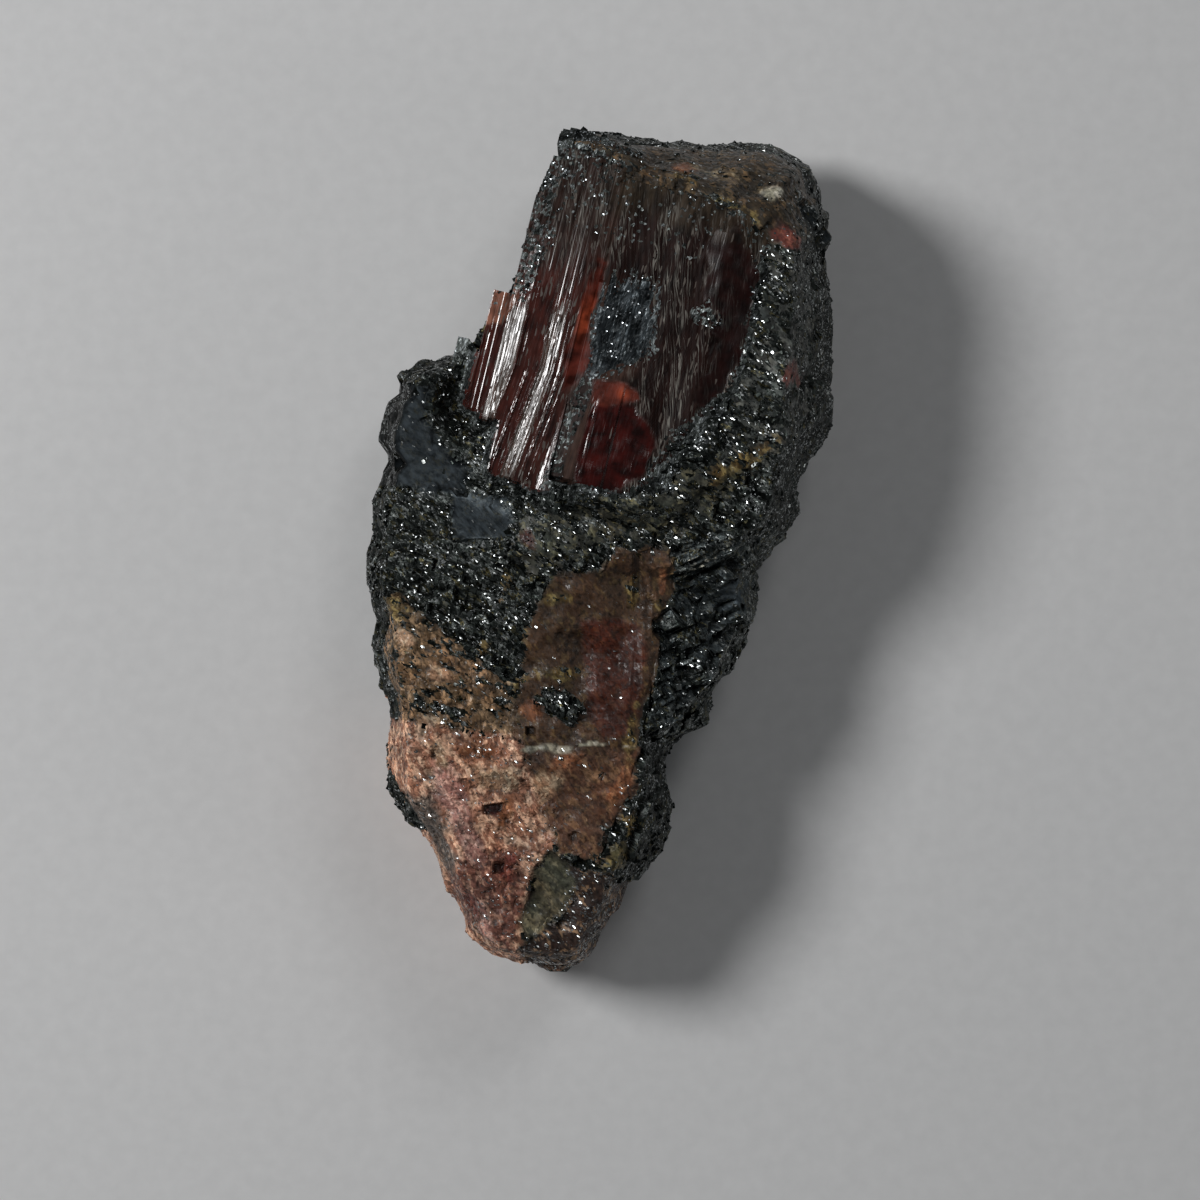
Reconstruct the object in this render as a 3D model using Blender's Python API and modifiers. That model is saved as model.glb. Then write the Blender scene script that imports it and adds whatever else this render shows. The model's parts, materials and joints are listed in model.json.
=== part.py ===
"""A rhodonite specimen: a deep red crystal of parallel columns, set in a broken
block of galena that grades into pink granular rhodonite at its foot.

The specimen lies on its flat broken back, front face up, long side along Y.
The origin is the middle of its bounding box, on the surface that it rests on.
Sizes are in millimetres and become metres through MM.
"""

import math
import random

import bmesh
import bpy
import numpy as np
from mathutils import Matrix, Vector

MM = 0.001

# ---------------------------------------------------------------- driving sizes

WIDTH = 55.8  # along X
LENGTH = 100.6  # along Y, from the tip of the foot to the top edge
HEIGHT = 31.0  # from the resting face to the proudest column of the crystal
FIT_GAP = 0.3  # clearance between the crystal and its socket

# ---------------------------------------------------------------- the rock

# The outline seen from the front, clockwise from its top left corner.
OUTLINE = [
    (-4.6, 48.9), (-2.0, 50.1), (0.3, 50.3), (2.9, 49.7), (12.2, 48.6), (20.4, 48.4),
    (22.5, 47.6), (24.0, 46.4), (25.5, 45.7), (25.6, 43.7), (26.5, 42.5), (26.5, 40.9),
    (27.9, 38.6), (27.7, 37.0), (26.9, 35.6), (26.7, 33.4), (27.6, 30.5), (27.9, 27.4),
    (27.6, 24.2), (27.7, 16.2), (26.9, 13.6), (24.4, 10.1), (23.5, 8.0), (23.6, 5.0),
    (22.9, 2.8), (19.3, -1.3), (18.7, -4.2), (18.9, -7.7), (17.1, -10.6), (15.2, -14.6),
    (13.2, -17.7), (12.3, -19.2), (12.2, -21.2), (11.2, -20.8), (8.3, -23.4),
    (7.8, -25.0), (8.3, -28.0), (8.7, -31.9), (8.2, -34.9), (5.4, -37.5), (3.9, -39.4),
    (2.9, -42.2), (0.6, -46.4), (-0.7, -48.8), (-4.7, -50.3), (-9.1, -49.5),
    (-13.5, -47.7), (-16.1, -45.3), (-16.6, -42.2), (-18.5, -39.4), (-19.9, -35.5),
    (-21.2, -33.5), (-22.9, -32.6), (-23.9, -30.2), (-25.1, -27.5), (-25.3, -25.6),
    (-25.0, -19.1), (-26.2, -14.9), (-27.1, -11.9), (-27.1, -10.3), (-26.2, -8.5),
    (-27.1, -5.8), (-27.9, -0.6), (-26.5, 1.0), (-26.9, 6.2), (-25.6, 8.6), (-25.9, 13.2),
    (-25.1, 16.3), (-24.1, 19.3), (-24.4, 20.6), (-21.8, 22.4), (-18.5, 23.1),
    (-17.3, 23.8), (-16.4, 24.5), (-15.6, 23.5), (-14.6, 25.2), (-13.4, 26.8),
    (-11.2, 30.4), (-9.9, 32.4), (-9.0, 34.6), (-9.2, 35.8), (-8.6, 37.7), (-7.3, 41.5),
    (-5.4, 46.1),
]  # fmt: skip

# The broken blocks that make the front. Each has the height of its top face in the
# middle, the tilt of that face in X and Y, its cleavage, and its corners, anticlockwise.
# The cleavage splits it into flat steps: their length and width, their turn in degrees,
# and their relief. With each corner goes the steepness of the side that runs from it to
# the next one.
BLOCKS = {
    "head": (29.0, (0.02, 0.0), (7.0, 4.5, 66, 1.0), [
        (-4.0, 6.5, 2.0), (12.0, 7.0, 2.0), (21.5, 12.5, 2.4), (22.5, 35.0, 1.6),
        (20.5, 41.0, 1.25), (0.0, 42.3, 0.9), (-5.0, 38.0, 0.6),
    ]),
    "belt": (27.8, (0.0, 0.08), (8.0, 3.2, 22, 1.4), [
        (-8.0, -0.5, 1.2), (13.0, -2.0, 1.0), (19.0, 4.0, 0.9), (21.0, 10.0, 1.0),
        (0.0, 9.0, 1.0), (-9.0, 6.0, 0.5),
    ]),
    "shoulder": (21.6, (0.22, 0.08), (8.5, 6.0, 38, 1.5), [
        (-24.5, 1.0, 1.0), (-12.0, 0.0, 1.0), (-9.5, 8.0, 1.0), (-15.5, 21.0, 1.0),
        (-22.5, 19.5, 1.2), (-24.8, 12.0, 1.5),
    ]),
    "lower_shoulder": (23.6, (0.16, -0.04), (4.6, 3.4, -14, 2.0), [
        (-25.0, -13.0, 0.7), (-10.0, -17.0, 0.8), (-7.5, -3.0, 1.2), (-9.0, -1.0, 1.8),
        (-24.5, -0.5, 1.6),
    ]),
    "brown_seam": (26.3, (-0.03, 0.04), (9.0, 4.0, 84, 1.2), [
        (-9.0, -25.0, 0.4), (4.5, -25.0, 1.3), (7.5, -2.0, 1.4), (5.0, 2.0, 0.5),
        (-7.0, 2.0, 0.6), (-9.0, -9.0, 0.5),
    ]),
    "ledge_side": (20.6, (-0.55, 0.2), (11.0, 2.7, 21, 3.2), [
        (4.0, -22.0, 1.6), (11.5, -18.5, 1.4), (18.0, -8.0, 1.6), (18.0, 0.5, 1.0),
        (6.0, 2.0, 1.0),
    ]),
    "foot": (24.2, (0.03, 0.14), (7.0, 5.0, -24, 1.1), [
        (-23.5, -24.0, 1.0), (-19.0, -34.0, 0.8), (-13.0, -45.5, 0.9), (-3.0, -47.5, 1.1),
        (2.5, -38.0, 1.3), (5.0, -24.0, 0.9), (-8.0, -16.0, 0.5), (-22.0, -14.5, 0.7),
    ]),
    "foot_lobes": (18.6, (-0.45, 0.1), (4.0, 3.0, 12, 2.4), [
        (2.5, -37.0, 1.5), (7.5, -34.5, 1.6), (7.8, -24.5, 1.5), (3.0, -21.0, 1.0),
    ]),
}  # fmt: skip
STEP_SEED = 5
STEP_KINDS = 23  # how many steps there are before their levels repeat
STEP_TILT = 0.7  # how much a step tilts, against how much the steps differ

# The broken faces of the back: a point on each and its rise in X and Y. The underside
# is the highest of them, and the first is the face that the specimen rests on.
BACK = [
    ((0, 0, 0.0), (0.0, 0.0)),
    ((0, 36, 0.0), (0.05, 0.42)),
    ((0, -27, 0.0), (0.05, -0.36)),
    ((-16, 0, 0.0), (-0.62, 0.05)),
    ((15, 4, 0.0), (0.55, 0.12)),
    ((8, -24, 0.0), (0.35, -0.5)),
]
RESTING_CUT = 0.45  # how much of the back's bumps is flattened where it rests

# The flanks: the outline stands between these heights, and the faces meet it steeply.
FLANK_LOW, FLANK_HIGH = 8.5, 12.5
BACK_FALL, FRONT_RISE = 1.5, 4.5

# The rock's roughness: the shape of its lumps, their size and their relief.
LUMPS = [("VORONOI_F2_F1", 4.0, 0.7), ("VORONOI_F1", 1.8, 0.4)]

# Chips struck off it: how many, how wide, how deep, how many degrees they tilt, and how
# steep the rim is where one ends.
CHIPS = 520
CHIP_RADIUS = (1.2, 3.4)
CHIP_DEPTH = (0.0, 0.35)
CHIP_TILT = 28.0
CHIP_RIM = 2.4
FLANK_SHARE = 0.4  # how deep chips go on the flanks, against those of the two faces
CHIP_SEED = 12
SLAB_HALF = 2.0  # half thickness of the blank that the rock is shaped from
BLANK_VOXEL, ROCK_VOXEL = 0.6, 0.62
ROCK_TRIANGLES = 7000

# Small horns of the broken rim: base, tip, width at the base.
HORNS = [
    ((-16.6, 22.4, 16.6), (-16.4, 24.6, 17.2), 1.6),
    ((11.4, -19.8, 12.4), (12.3, -21.4, 12.6), 1.6),
]
HORN_TIP = 0.12

# ---------------------------------------------------------------- the crystal

COLUMN_LEAN = 13.5  # degrees that the columns lean from Y towards X
CRYSTAL_FLOOR = 11.5  # the deepest that the crystal reaches into the rock
FLOOR_STEP = 0.17  # each column's underside lies a little higher than the last one's
SOCKET_OPEN = 14.0  # the socket is open to the front over this height

# Each column: across from, across to, along from, along to, height of its front face
# in the middle, its roll in degrees (left side low) and how many ribs it shows. The
# first one is the core, which lies inside the others and ties them together.
COLUMNS = [
    (-12.0, 5.5, 9.0, 40.0, 24.0, 0, 1),
    (-19.2, -16.7, 12.3, 27.5, 21.0, 20, 2),
    (-17.0, -14.4, 11.6, 44.2, 23.2, 30, 4),
    (-14.7, -12.0, 5.6, 45.0, 25.0, 24, 3),
    (-12.2, -10.2, 5.3, 44.6, 26.4, 32, 3),
    (-10.4, -7.5, 5.0, 44.0, 27.5, 20, 4),
    (-8.7, -5.3, 16.5, 38.0, 28.2, 14, 3),
    (-7.8, -4.7, 6.4, 17.4, 26.2, -10, 2),
    (-8.2, 0.2, 31.0, 42.3, 28.6, 6, 6),
    (-6.8, 0.4, 19.0, 32.0, 28.2, 4, 2),
    (-5.0, 2.8, 6.8, 20.2, 29.6, 5, 2),
    (2.4, 6.0, 8.4, 24.0, 29.2, -8, 4),
    (-0.2, 4.8, 19.9, 42.1, 29.8, 4, 6),
    (4.4, 8.0, 14.5, 41.4, 30.1, -3, 3),
    (7.7, 10.4, 18.2, 39.6, 29.6, -9, 2),
]
RIB_RELIEF = 0.34  # how much the ribs stand out from each other
SIDE_RIBS = 4  # ribs on each column's left side
TOP_CUT = ((0.0, 42.9, 29.2), (0.03, 1.25, 1.0))  # the broken face of the top end
END_LEAN = 4.0  # degrees that the columns' ends lean, so that their tops are shorter
RIB_SEED = 7

# On the open left side the rock stays under this height, so that no thin wall of it
# stands beside the columns: across from, across to, along from, along to.
SHELF_HEIGHT = 13.5
SHELVES = [(-19.8, -16.7, 12.3, 27.5), (-21.0, -14.4, 26.0, 45.0)]


# ---------------------------------------------------------------- small helpers


def clear_scene():
    for obj in list(bpy.data.objects):
        bpy.data.objects.remove(obj, do_unlink=True)


def collection_named(name):
    found = bpy.data.collections.new(name)
    bpy.context.scene.collection.children.link(found)
    return found


def object_from(bm, name, collection):
    """A bmesh in millimetres becomes an object in metres."""
    bmesh.ops.recalc_face_normals(bm, faces=bm.faces)
    bm.transform(Matrix.Scale(MM, 4))
    mesh = bpy.data.meshes.new(name)
    bm.to_mesh(mesh)
    bm.free()
    obj = bpy.data.objects.new(name, mesh)
    collection.objects.link(obj)
    return obj


def evaluated_mesh(obj):
    bpy.context.view_layer.update()
    graph = bpy.context.evaluated_depsgraph_get()
    return bpy.data.meshes.new_from_object(obj.evaluated_get(graph))


def apply_modifiers(obj):
    """The object keeps the shape that its modifiers give, and loses the modifiers."""
    mesh = evaluated_mesh(obj)
    obj.modifiers.clear()
    obj.data = mesh


def remesh(obj, voxel):
    made = obj.modifiers.new("Even mesh", "REMESH")
    made.mode = "VOXEL"
    made.voxel_size = voxel * MM
    apply_modifiers(obj)


def boolean(obj, other, operation):
    """Joins the other object to this one or cuts it away, and removes it."""
    made = obj.modifiers.new(operation.title(), "BOOLEAN")
    made.operation = operation
    made.solver = "EXACT"
    made.object = other
    apply_modifiers(obj)
    bpy.data.objects.remove(other, do_unlink=True)


def coordinates(mesh):
    flat = np.empty(len(mesh.vertices) * 3, np.float32)
    mesh.vertices.foreach_get("co", flat)
    return flat.reshape(-1, 3).astype(float) / MM


def set_coordinates(mesh, points):
    mesh.vertices.foreach_set("co", (points * MM).astype(np.float32).ravel())
    mesh.update()


def shell_of(start):
    """All the corners that edges join to this one."""
    found, todo = {start}, [start]
    while todo:
        for edge in todo.pop().link_edges:
            for corner in edge.verts:
                if corner not in found:
                    found.add(corner)
                    todo.append(corner)
    return found


def keep_largest(obj):
    """Removes the crumbs that a cut leaves loose."""
    bm = bmesh.new()
    bm.from_mesh(obj.data)
    left, shells = set(bm.verts), []
    while left:
        shells.append(shell_of(next(iter(left))))
        left -= shells[-1]
    largest = max(shells, key=len)
    crumbs = [corner for corner in bm.verts if corner not in largest]
    bmesh.ops.delete(bm, geom=crumbs, context="VERTS")
    bm.to_mesh(obj.data)
    bm.free()


def plain_material(name, colour, roughness, metallic):
    material = bpy.data.materials.new(name)
    material.use_nodes = True
    shader = material.node_tree.nodes["Principled BSDF"]
    shader.inputs["Base Color"].default_value = (*colour, 1.0)
    shader.inputs["Roughness"].default_value = roughness
    shader.inputs["Metallic"].default_value = metallic
    material.diffuse_color = (*colour, 1.0)
    return material


# ---------------------------------------------------------------- the rock's form


def plane_height(point, tilt, x, y):
    return point[2] + tilt[0] * (x - point[0]) + tilt[1] * (y - point[1])


def across_and_along(x, y):
    """Where a point lies across the crystal's columns, and along them."""
    lean = math.radians(COLUMN_LEAN)
    across = x * math.cos(lean) - y * math.sin(lean)
    along = x * math.sin(lean) + y * math.cos(lean)
    return across, along


def distance_to_outline(x, y):
    """Shortest distance from each point to the outline's straight edges."""
    points = np.stack([x, y], axis=1)
    nearest = np.full(len(points), 1e9)
    for start, end in zip(OUTLINE, OUTLINE[1:] + OUTLINE[:1]):
        start, edge = np.array(start), np.array(end) - np.array(start)
        share = np.clip(((points - start) @ edge) / (edge @ edge), 0, 1)
        gap = points - start - share[:, None] * edge
        nearest = np.minimum(nearest, np.hypot(gap[:, 0], gap[:, 1]))
    return nearest


def cleavage_steps(cleavage, x, y):
    """Flat steps in rows, as a cleaved block breaks, each with a level and a tilt."""
    length, width, turn, relief = cleavage
    levels = np.random.default_rng(STEP_SEED).uniform(-0.5, 0.5, (3, STEP_KINDS, STEP_KINDS))
    turn = math.radians(turn)
    u = (x * math.cos(turn) + y * math.sin(turn)) / length
    v = (y * math.cos(turn) - x * math.sin(turn)) / width
    v = v + 0.3 * np.sin(2.6 * u + 1.0)
    row = np.floor(v).astype(int) % STEP_KINDS
    u = u + 2 * levels[0, row, 0] + 0.1 * v
    step = np.floor(u).astype(int) % STEP_KINDS
    level, tilt_u, tilt_v = levels[:, row, step]
    tilted = tilt_u * (u % 1 - 0.5) + tilt_v * (v % 1 - 0.5)
    return relief * (level + 2 * STEP_TILT * tilted)


def block_height(block, x, y):
    """A block's top face, and its sides, which fall away outside its corners."""
    top, tilt, cleavage, corners = block
    middle = (*np.mean(corners, axis=0)[:2], top)
    drop = np.zeros_like(x)
    for (ax, ay, steep), (bx, by, _) in zip(corners, corners[1:] + corners[:1]):
        length = math.hypot(bx - ax, by - ay)
        outside = ((x - ax) * (by - ay) - (y - ay) * (bx - ax)) / length
        drop = np.maximum(drop, steep * outside)
    return plane_height(middle, tilt, x, y) + cleavage_steps(cleavage, x, y) - drop


def front_height(x, y, depth_in):
    height = np.maximum.reduce([block_height(b, x, y) for b in BLOCKS.values()])
    height = np.minimum(height, FLANK_HIGH + FRONT_RISE * depth_in)
    across, along = across_and_along(x, y)
    for left, right, start, end in SHELVES:
        inside = (across > left) & (across < right) & (along > start) & (along < end)
        height = np.where(inside, np.minimum(height, SHELF_HEIGHT), height)
    return height


def back_height(x, y, depth_in):
    height = np.maximum.reduce([plane_height(p, tilt, x, y) for p, tilt in BACK])
    return np.maximum(height, FLANK_LOW - BACK_FALL * depth_in) - RESTING_CUT


def outline_blank(collection):
    """The outline cut from a thin slab, with an even mesh."""
    curve = bpy.data.curves.new("outline", "CURVE")
    curve.dimensions = "2D"
    curve.fill_mode = "BOTH"
    curve.extrude = SLAB_HALF * MM
    line = curve.splines.new("POLY")
    line.points.add(len(OUTLINE) - 1)
    for point, (x, y) in zip(line.points, OUTLINE):
        point.co = (x * MM, y * MM, 0.0, 1.0)
    line.use_cyclic_u = True
    guide = bpy.data.objects.new("outline", curve)
    collection.objects.link(guide)
    blank = bpy.data.objects.new("galena_matrix", evaluated_mesh(guide))
    bpy.data.objects.remove(guide, do_unlink=True)
    collection.objects.link(blank)
    remesh(blank, BLANK_VOXEL)
    return blank


def shape_rock(rock):
    """Moves the slab's two faces to the heights of the front and the back."""
    points = coordinates(rock.data)
    x, y, z = points.T
    share = np.clip((z / SLAB_HALF + 1) / 2, 0, 1)
    depth_in = distance_to_outline(x, y)
    low, high = back_height(x, y, depth_in), front_height(x, y, depth_in)
    points[:, 2] = low + (high - low) * share
    set_coordinates(rock.data, points)
    remesh(rock, ROCK_VOXEL)


def roughen_rock(rock):
    """Pushes the surface in and out by lumps of each size."""
    for basis, size, relief in LUMPS:
        texture = bpy.data.textures.new(basis, "CLOUDS")
        texture.noise_basis = basis
        texture.noise_scale = size * MM
        texture.noise_depth = 1
        made = rock.modifiers.new(basis, "DISPLACE")
        made.texture = texture
        made.texture_coords = "LOCAL"
        made.strength = relief * MM
        made.mid_level = 0.5
    apply_modifiers(rock)
    remesh(rock, ROCK_VOXEL)


def strike_chips(rock):
    """Presses flat chips into the surface, each tilted a little out of it."""
    chance = random.Random(CHIP_SEED)
    points = coordinates(rock.data)
    normals = np.array([v.normal for v in rock.data.vertices])
    for _ in range(CHIPS):
        struck = chance.randrange(len(points))
        radius = chance.uniform(*CHIP_RADIUS)
        tilt = math.tan(math.radians(CHIP_TILT)) * chance.random()
        sideways = Vector([chance.uniform(-1, 1) for _ in range(3)]).normalized()
        facing = np.array((Vector(normals[struck]) + tilt * sideways).normalized())
        away = points - points[struck]
        room = radius - np.linalg.norm(away, axis=1)
        proud = away @ facing + chance.uniform(*CHIP_DEPTH)
        cut = np.clip(np.minimum(proud, CHIP_RIM * room), 0, None)
        share = max(FLANK_SHARE, abs(facing[2]))
        points -= share * cut[:, None] * facing
    set_coordinates(rock.data, points)
    remesh(rock, ROCK_VOXEL)


def horn(base, tip, width):
    """A five-sided spike of the rim."""
    along = Vector(tip) - Vector(base)
    bm = bmesh.new()
    bmesh.ops.create_cone(
        bm,
        cap_ends=True,
        segments=5,
        radius1=width / 2,
        radius2=HORN_TIP,
        depth=along.length,
    )
    turn = along.to_track_quat("Z", "Y").to_matrix().to_4x4()
    bm.transform(Matrix.Translation((Vector(base) + Vector(tip)) / 2) @ turn)
    return bm


def thin_out(obj, triangles):
    """Fewer, larger facets, as broken rock has."""
    obj.data.calc_loop_triangles()
    made = obj.modifiers.new("Facets", "DECIMATE")
    made.ratio = min(1.0, triangles / len(obj.data.loop_triangles))
    apply_modifiers(obj)


def cut_away(obj, point, facing):
    """Cuts off what lies beyond a plane, and closes the cut."""
    bm = bmesh.new()
    bm.from_mesh(obj.data)
    cut = bmesh.ops.bisect_plane(
        bm,
        geom=bm.verts[:] + bm.edges[:] + bm.faces[:],
        plane_co=point * MM,
        plane_no=facing,
        clear_outer=True,
    )
    rim = [e for e in cut["geom_cut"] if isinstance(e, bmesh.types.BMEdge)]
    bmesh.ops.holes_fill(bm, edges=rim)
    bmesh.ops.triangulate(bm, faces=bm.faces)
    bm.to_mesh(obj.data)
    bm.free()


def galena_matrix(collection, helpers):
    rock = outline_blank(collection)
    shape_rock(rock)
    roughen_rock(rock)
    strike_chips(rock)
    for place in HORNS:
        boolean(rock, object_from(horn(*place), "horn", helpers), "UNION")
    thin_out(rock, ROCK_TRIANGLES)
    cut_away(rock, Vector((0, 0, 0)), Vector((0, 0, -1)))
    return rock


# ---------------------------------------------------------------- the crystal's form


def ribbed_profile(width, floor, front, roll, ribs, chance):
    """A column's cross-section: flat ribs side by side on a rolled front face."""
    points = [(width / 2, floor), (-width / 2, floor)]
    low_edge = front - width / 2 * math.tan(math.radians(roll)) - 2 * RIB_RELIEF
    for number in range(1, SIDE_RIBS):
        level = floor + (low_edge - floor) * number / SIDE_RIBS
        inward = -width / 2 + chance.uniform(0.0, RIB_RELIEF)
        points.append((points[-1][0], level - RIB_RELIEF / 2))
        points.append((inward, level))
    left = -width / 2
    for number in range(ribs):
        share = (number + 1 + chance.uniform(-0.25, 0.25)) / ribs
        right = width / 2 if number == ribs - 1 else width * (share - 0.5)
        raised = chance.uniform(-RIB_RELIEF, RIB_RELIEF) if ribs > 1 else 0.0
        slope = math.tan(math.radians(roll))
        level = front + raised + slope * (left + right) / 2
        tilt = slope * chance.uniform(0.3, 0.9)
        edge = min(0.12, (right - left) / 6)
        points.append((left + edge, level - tilt * (right - left) / 2))
        points.append((right - edge, level + tilt * (right - left) / 2))
        left = right
    return points


def swept(profile, length):
    """A straight bar with this cross-section, lying along Y."""
    bm = bmesh.new()
    corners = [bm.verts.new((x, -length / 2, z)) for x, z in profile]
    face = bm.faces.new(corners)
    made = bmesh.ops.extrude_face_region(bm, geom=[face])
    moved = [v for v in made["geom"] if isinstance(v, bmesh.types.BMVert)]
    bmesh.ops.translate(bm, verts=moved, vec=(0, length, 0))
    return bm


def lean_the_ends(bm, length, floor):
    """Both ends lean inwards from the floor up."""
    lean = math.tan(math.radians(END_LEAN))
    for vertex in bm.verts:
        shorter = lean * (vertex.co.z - floor) / 2
        vertex.co.y -= math.copysign(min(shorter, length / 4), vertex.co.y)


def column(number, grown, opened):
    """One column in its place. grown widens it on each side, opened raises its front."""
    from_across, to_across, from_along, to_along, front, roll, ribs = COLUMNS[number]
    chance = random.Random(RIB_SEED + number)
    width = to_across - from_across + 2 * grown
    length = to_along - from_along + 2 * grown
    floor = CRYSTAL_FLOOR + number * FLOOR_STEP - grown
    if opened:
        profile = [(width / 2, floor), (-width / 2, floor)]
        profile += [(-width / 2, front + opened), (width / 2, front + opened)]
    else:
        profile = ribbed_profile(width, floor, front, roll, ribs, chance)
    bm = swept(profile, length)
    if not opened:
        lean_the_ends(bm, length, floor)
    lean = Matrix.Rotation(-math.radians(COLUMN_LEAN), 4, "Z")
    middle = ((from_across + to_across) / 2, (from_along + to_along) / 2, 0.0)
    bm.transform(lean @ Matrix.Translation(middle))
    return bm


def crystal_form(name, collection, helpers, grown=0.0, opened=0.0):
    """All the columns grown together in one solid."""
    crystal = object_from(column(0, grown, opened), name, collection)
    for number in range(1, len(COLUMNS)):
        one = object_from(column(number, grown, opened), "column", helpers)
        boolean(crystal, one, "UNION")
    return crystal


def break_off_top(crystal):
    cut_away(crystal, Vector(TOP_CUT[0]), Vector(TOP_CUT[1]).normalized())


# ---------------------------------------------------------------- the specimen


def fit_to_size(pieces):
    """Moves and trims the whole specimen to its stated size, resting on the ground."""
    everything = np.concatenate([coordinates(piece.data) for piece in pieces])
    low, high = everything.min(axis=0), everything.max(axis=0)
    middle = (low + high) / 2
    middle[2] = low[2]
    stretch = np.array([WIDTH, LENGTH, HEIGHT]) / (high - low)
    for piece in pieces:
        set_coordinates(piece.data, (coordinates(piece.data) - middle) * stretch)


def main():
    clear_scene()
    specimen = collection_named("rhodonite_specimen")
    helpers = collection_named("helpers")

    rock = galena_matrix(specimen, helpers)
    socket = crystal_form("socket", helpers, helpers, FIT_GAP, SOCKET_OPEN)
    boolean(rock, socket, "DIFFERENCE")
    keep_largest(rock)
    rock.data.materials.clear()
    rock.data.materials.append(plain_material("galena", (0.06, 0.065, 0.07), 0.4, 0.7))

    crystal = crystal_form("rhodonite_crystal", specimen, helpers)
    break_off_top(crystal)
    crystal.data.materials.clear()
    crystal.data.materials.append(plain_material("rhodonite", (0.16, 0.02, 0.015), 0.2, 0.0))

    fit_to_size([rock, crystal])


main()
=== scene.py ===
"""A rhodonite specimen: a furrowed, deep red crystal group in a broken block of galena,
which grades into a foot of pink and brown granular rhodonite. It lies on its back.

The shapes below are worked out in millimetres, and the meshes are in metres.
"""

import json
import math

import bpy
import numpy as np
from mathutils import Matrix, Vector
from mathutils.bvhtree import BVHTree
from mathutils.kdtree import KDTree

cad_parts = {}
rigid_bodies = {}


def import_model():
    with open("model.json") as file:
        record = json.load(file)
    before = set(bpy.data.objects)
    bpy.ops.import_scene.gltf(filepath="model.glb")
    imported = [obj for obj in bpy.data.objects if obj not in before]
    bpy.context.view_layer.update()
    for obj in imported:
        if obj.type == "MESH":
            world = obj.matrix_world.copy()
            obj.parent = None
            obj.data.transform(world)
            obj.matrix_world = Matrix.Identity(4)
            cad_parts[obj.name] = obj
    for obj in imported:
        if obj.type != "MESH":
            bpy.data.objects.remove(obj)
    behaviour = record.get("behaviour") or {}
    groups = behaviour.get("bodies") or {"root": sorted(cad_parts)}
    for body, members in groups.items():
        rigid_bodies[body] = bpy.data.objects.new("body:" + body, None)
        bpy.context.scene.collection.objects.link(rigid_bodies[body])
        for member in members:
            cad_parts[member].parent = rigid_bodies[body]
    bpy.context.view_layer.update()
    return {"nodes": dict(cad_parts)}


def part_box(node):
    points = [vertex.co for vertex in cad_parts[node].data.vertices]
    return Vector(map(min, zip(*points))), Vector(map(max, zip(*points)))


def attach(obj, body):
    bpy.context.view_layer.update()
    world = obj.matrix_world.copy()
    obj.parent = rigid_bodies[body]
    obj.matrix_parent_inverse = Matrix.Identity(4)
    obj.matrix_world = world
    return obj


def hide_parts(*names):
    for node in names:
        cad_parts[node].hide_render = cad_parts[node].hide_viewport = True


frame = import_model()

# ------------------------------------------------------------------------------------
# The crystal. Rhodonite grows in parallel columns with furrowed sides. They are grown
# together, glassy and deep red where clean, frosted and coated with galena elsewhere,
# and set in the rock.
# ------------------------------------------------------------------------------------

MM = 0.001
COLUMN_LEAN = 13.68  # degrees from Y
ACROSS_STEP_MM = 0.09  # between the points of the crystal's front, across the columns
ALONG_STEP_MM = 0.33  # and along them
ABOVE_ALL_MM = 80.0  # the height from which fronts are felt for, straight down
ROOT_HEIGHT_MM = 12.0
FRONT_LOWEST_MM = 20.3  # the crystal's front is higher than this, and its root is lower
PIT_DEPTH_MM = 1.2  # pits in the broad front that are deeper than this are filled
END_ROWS = 4  # rows of the grid over which the columns' ends are squared
CHIP_FROM_MM, CHIP_SLANT = (-8.0, 40.5), 0.44  # the top left corner is broken off along this line
ROCK_REACH_MM = 3.0  # how far past its own edge the crystal's front runs on into the rock
ROCK_LOWEST_MM = 15.0  # rock lower than this isn't counted as lying beside the crystal
ROCK_BELOW_RIM_MM = 9.0  # the rock beside the crystal's rim is not further below it than this
BODY_AT_MM = (5, 20)  # a place on the crystal's main body
LEFT_WALL_MM = -8.0  # across the columns, the tall left side lies left of this
TALL_WALL_MM, WALL_CUTS = 4.0, 24  # and its faces taller than this are cut so many times


def work_on(piece):
    bpy.ops.object.select_all(action="DESELECT")
    piece.select_set(True)
    bpy.context.view_layer.objects.active = piece


def copy_of_node(node, name):
    """The solid's own shape as a new piece, its loose triangles joined up."""
    piece = frame["nodes"][node].copy()
    piece.data = piece.data.copy()
    piece.name = piece.data.name = name
    piece.data.materials.clear()
    for key in list(piece.keys()):
        del piece[key]
    piece.parent = None
    bpy.context.scene.collection.objects.link(piece)
    work_on(piece)
    bpy.ops.object.mode_set(mode="EDIT")
    bpy.ops.mesh.select_all(action="SELECT")
    bpy.ops.mesh.remove_doubles(threshold=0.002 * MM)
    bpy.ops.object.mode_set(mode="OBJECT")
    return piece


def read(rows, name, wide):
    """A value of every corner or face of a mesh, as rows of this many numbers."""
    flat = np.empty(len(rows) * wide, np.float32)
    rows.foreach_get(name, flat)
    return flat.reshape(-1, wide).astype(float)


def corners_mm(piece):
    return read(piece.data.vertices, "co", 3) / MM


def move_corners(piece, points):
    piece.data.vertices.foreach_set("co", (points * MM).astype(np.float32).ravel())
    piece.data.update()


def paint(piece, name, values):
    """Keeps a value from 0 to 1 at each corner of the mesh for the material."""
    layer = piece.data.attributes.new(name, "FLOAT", "POINT")
    layer.data.foreach_set("value", np.clip(values, 0, 1).astype(np.float32))


def painted(piece, name):
    return read(piece.data.attributes[name].data, "value", 1)[:, 0]


def paint_colour(piece, name, colours):
    layer = piece.data.attributes.new(name, "FLOAT_COLOR", "POINT")
    four = np.ones((len(colours), 4), np.float32)
    four[:, :3] = colours
    layer.data.foreach_set("color", four.ravel())


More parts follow.
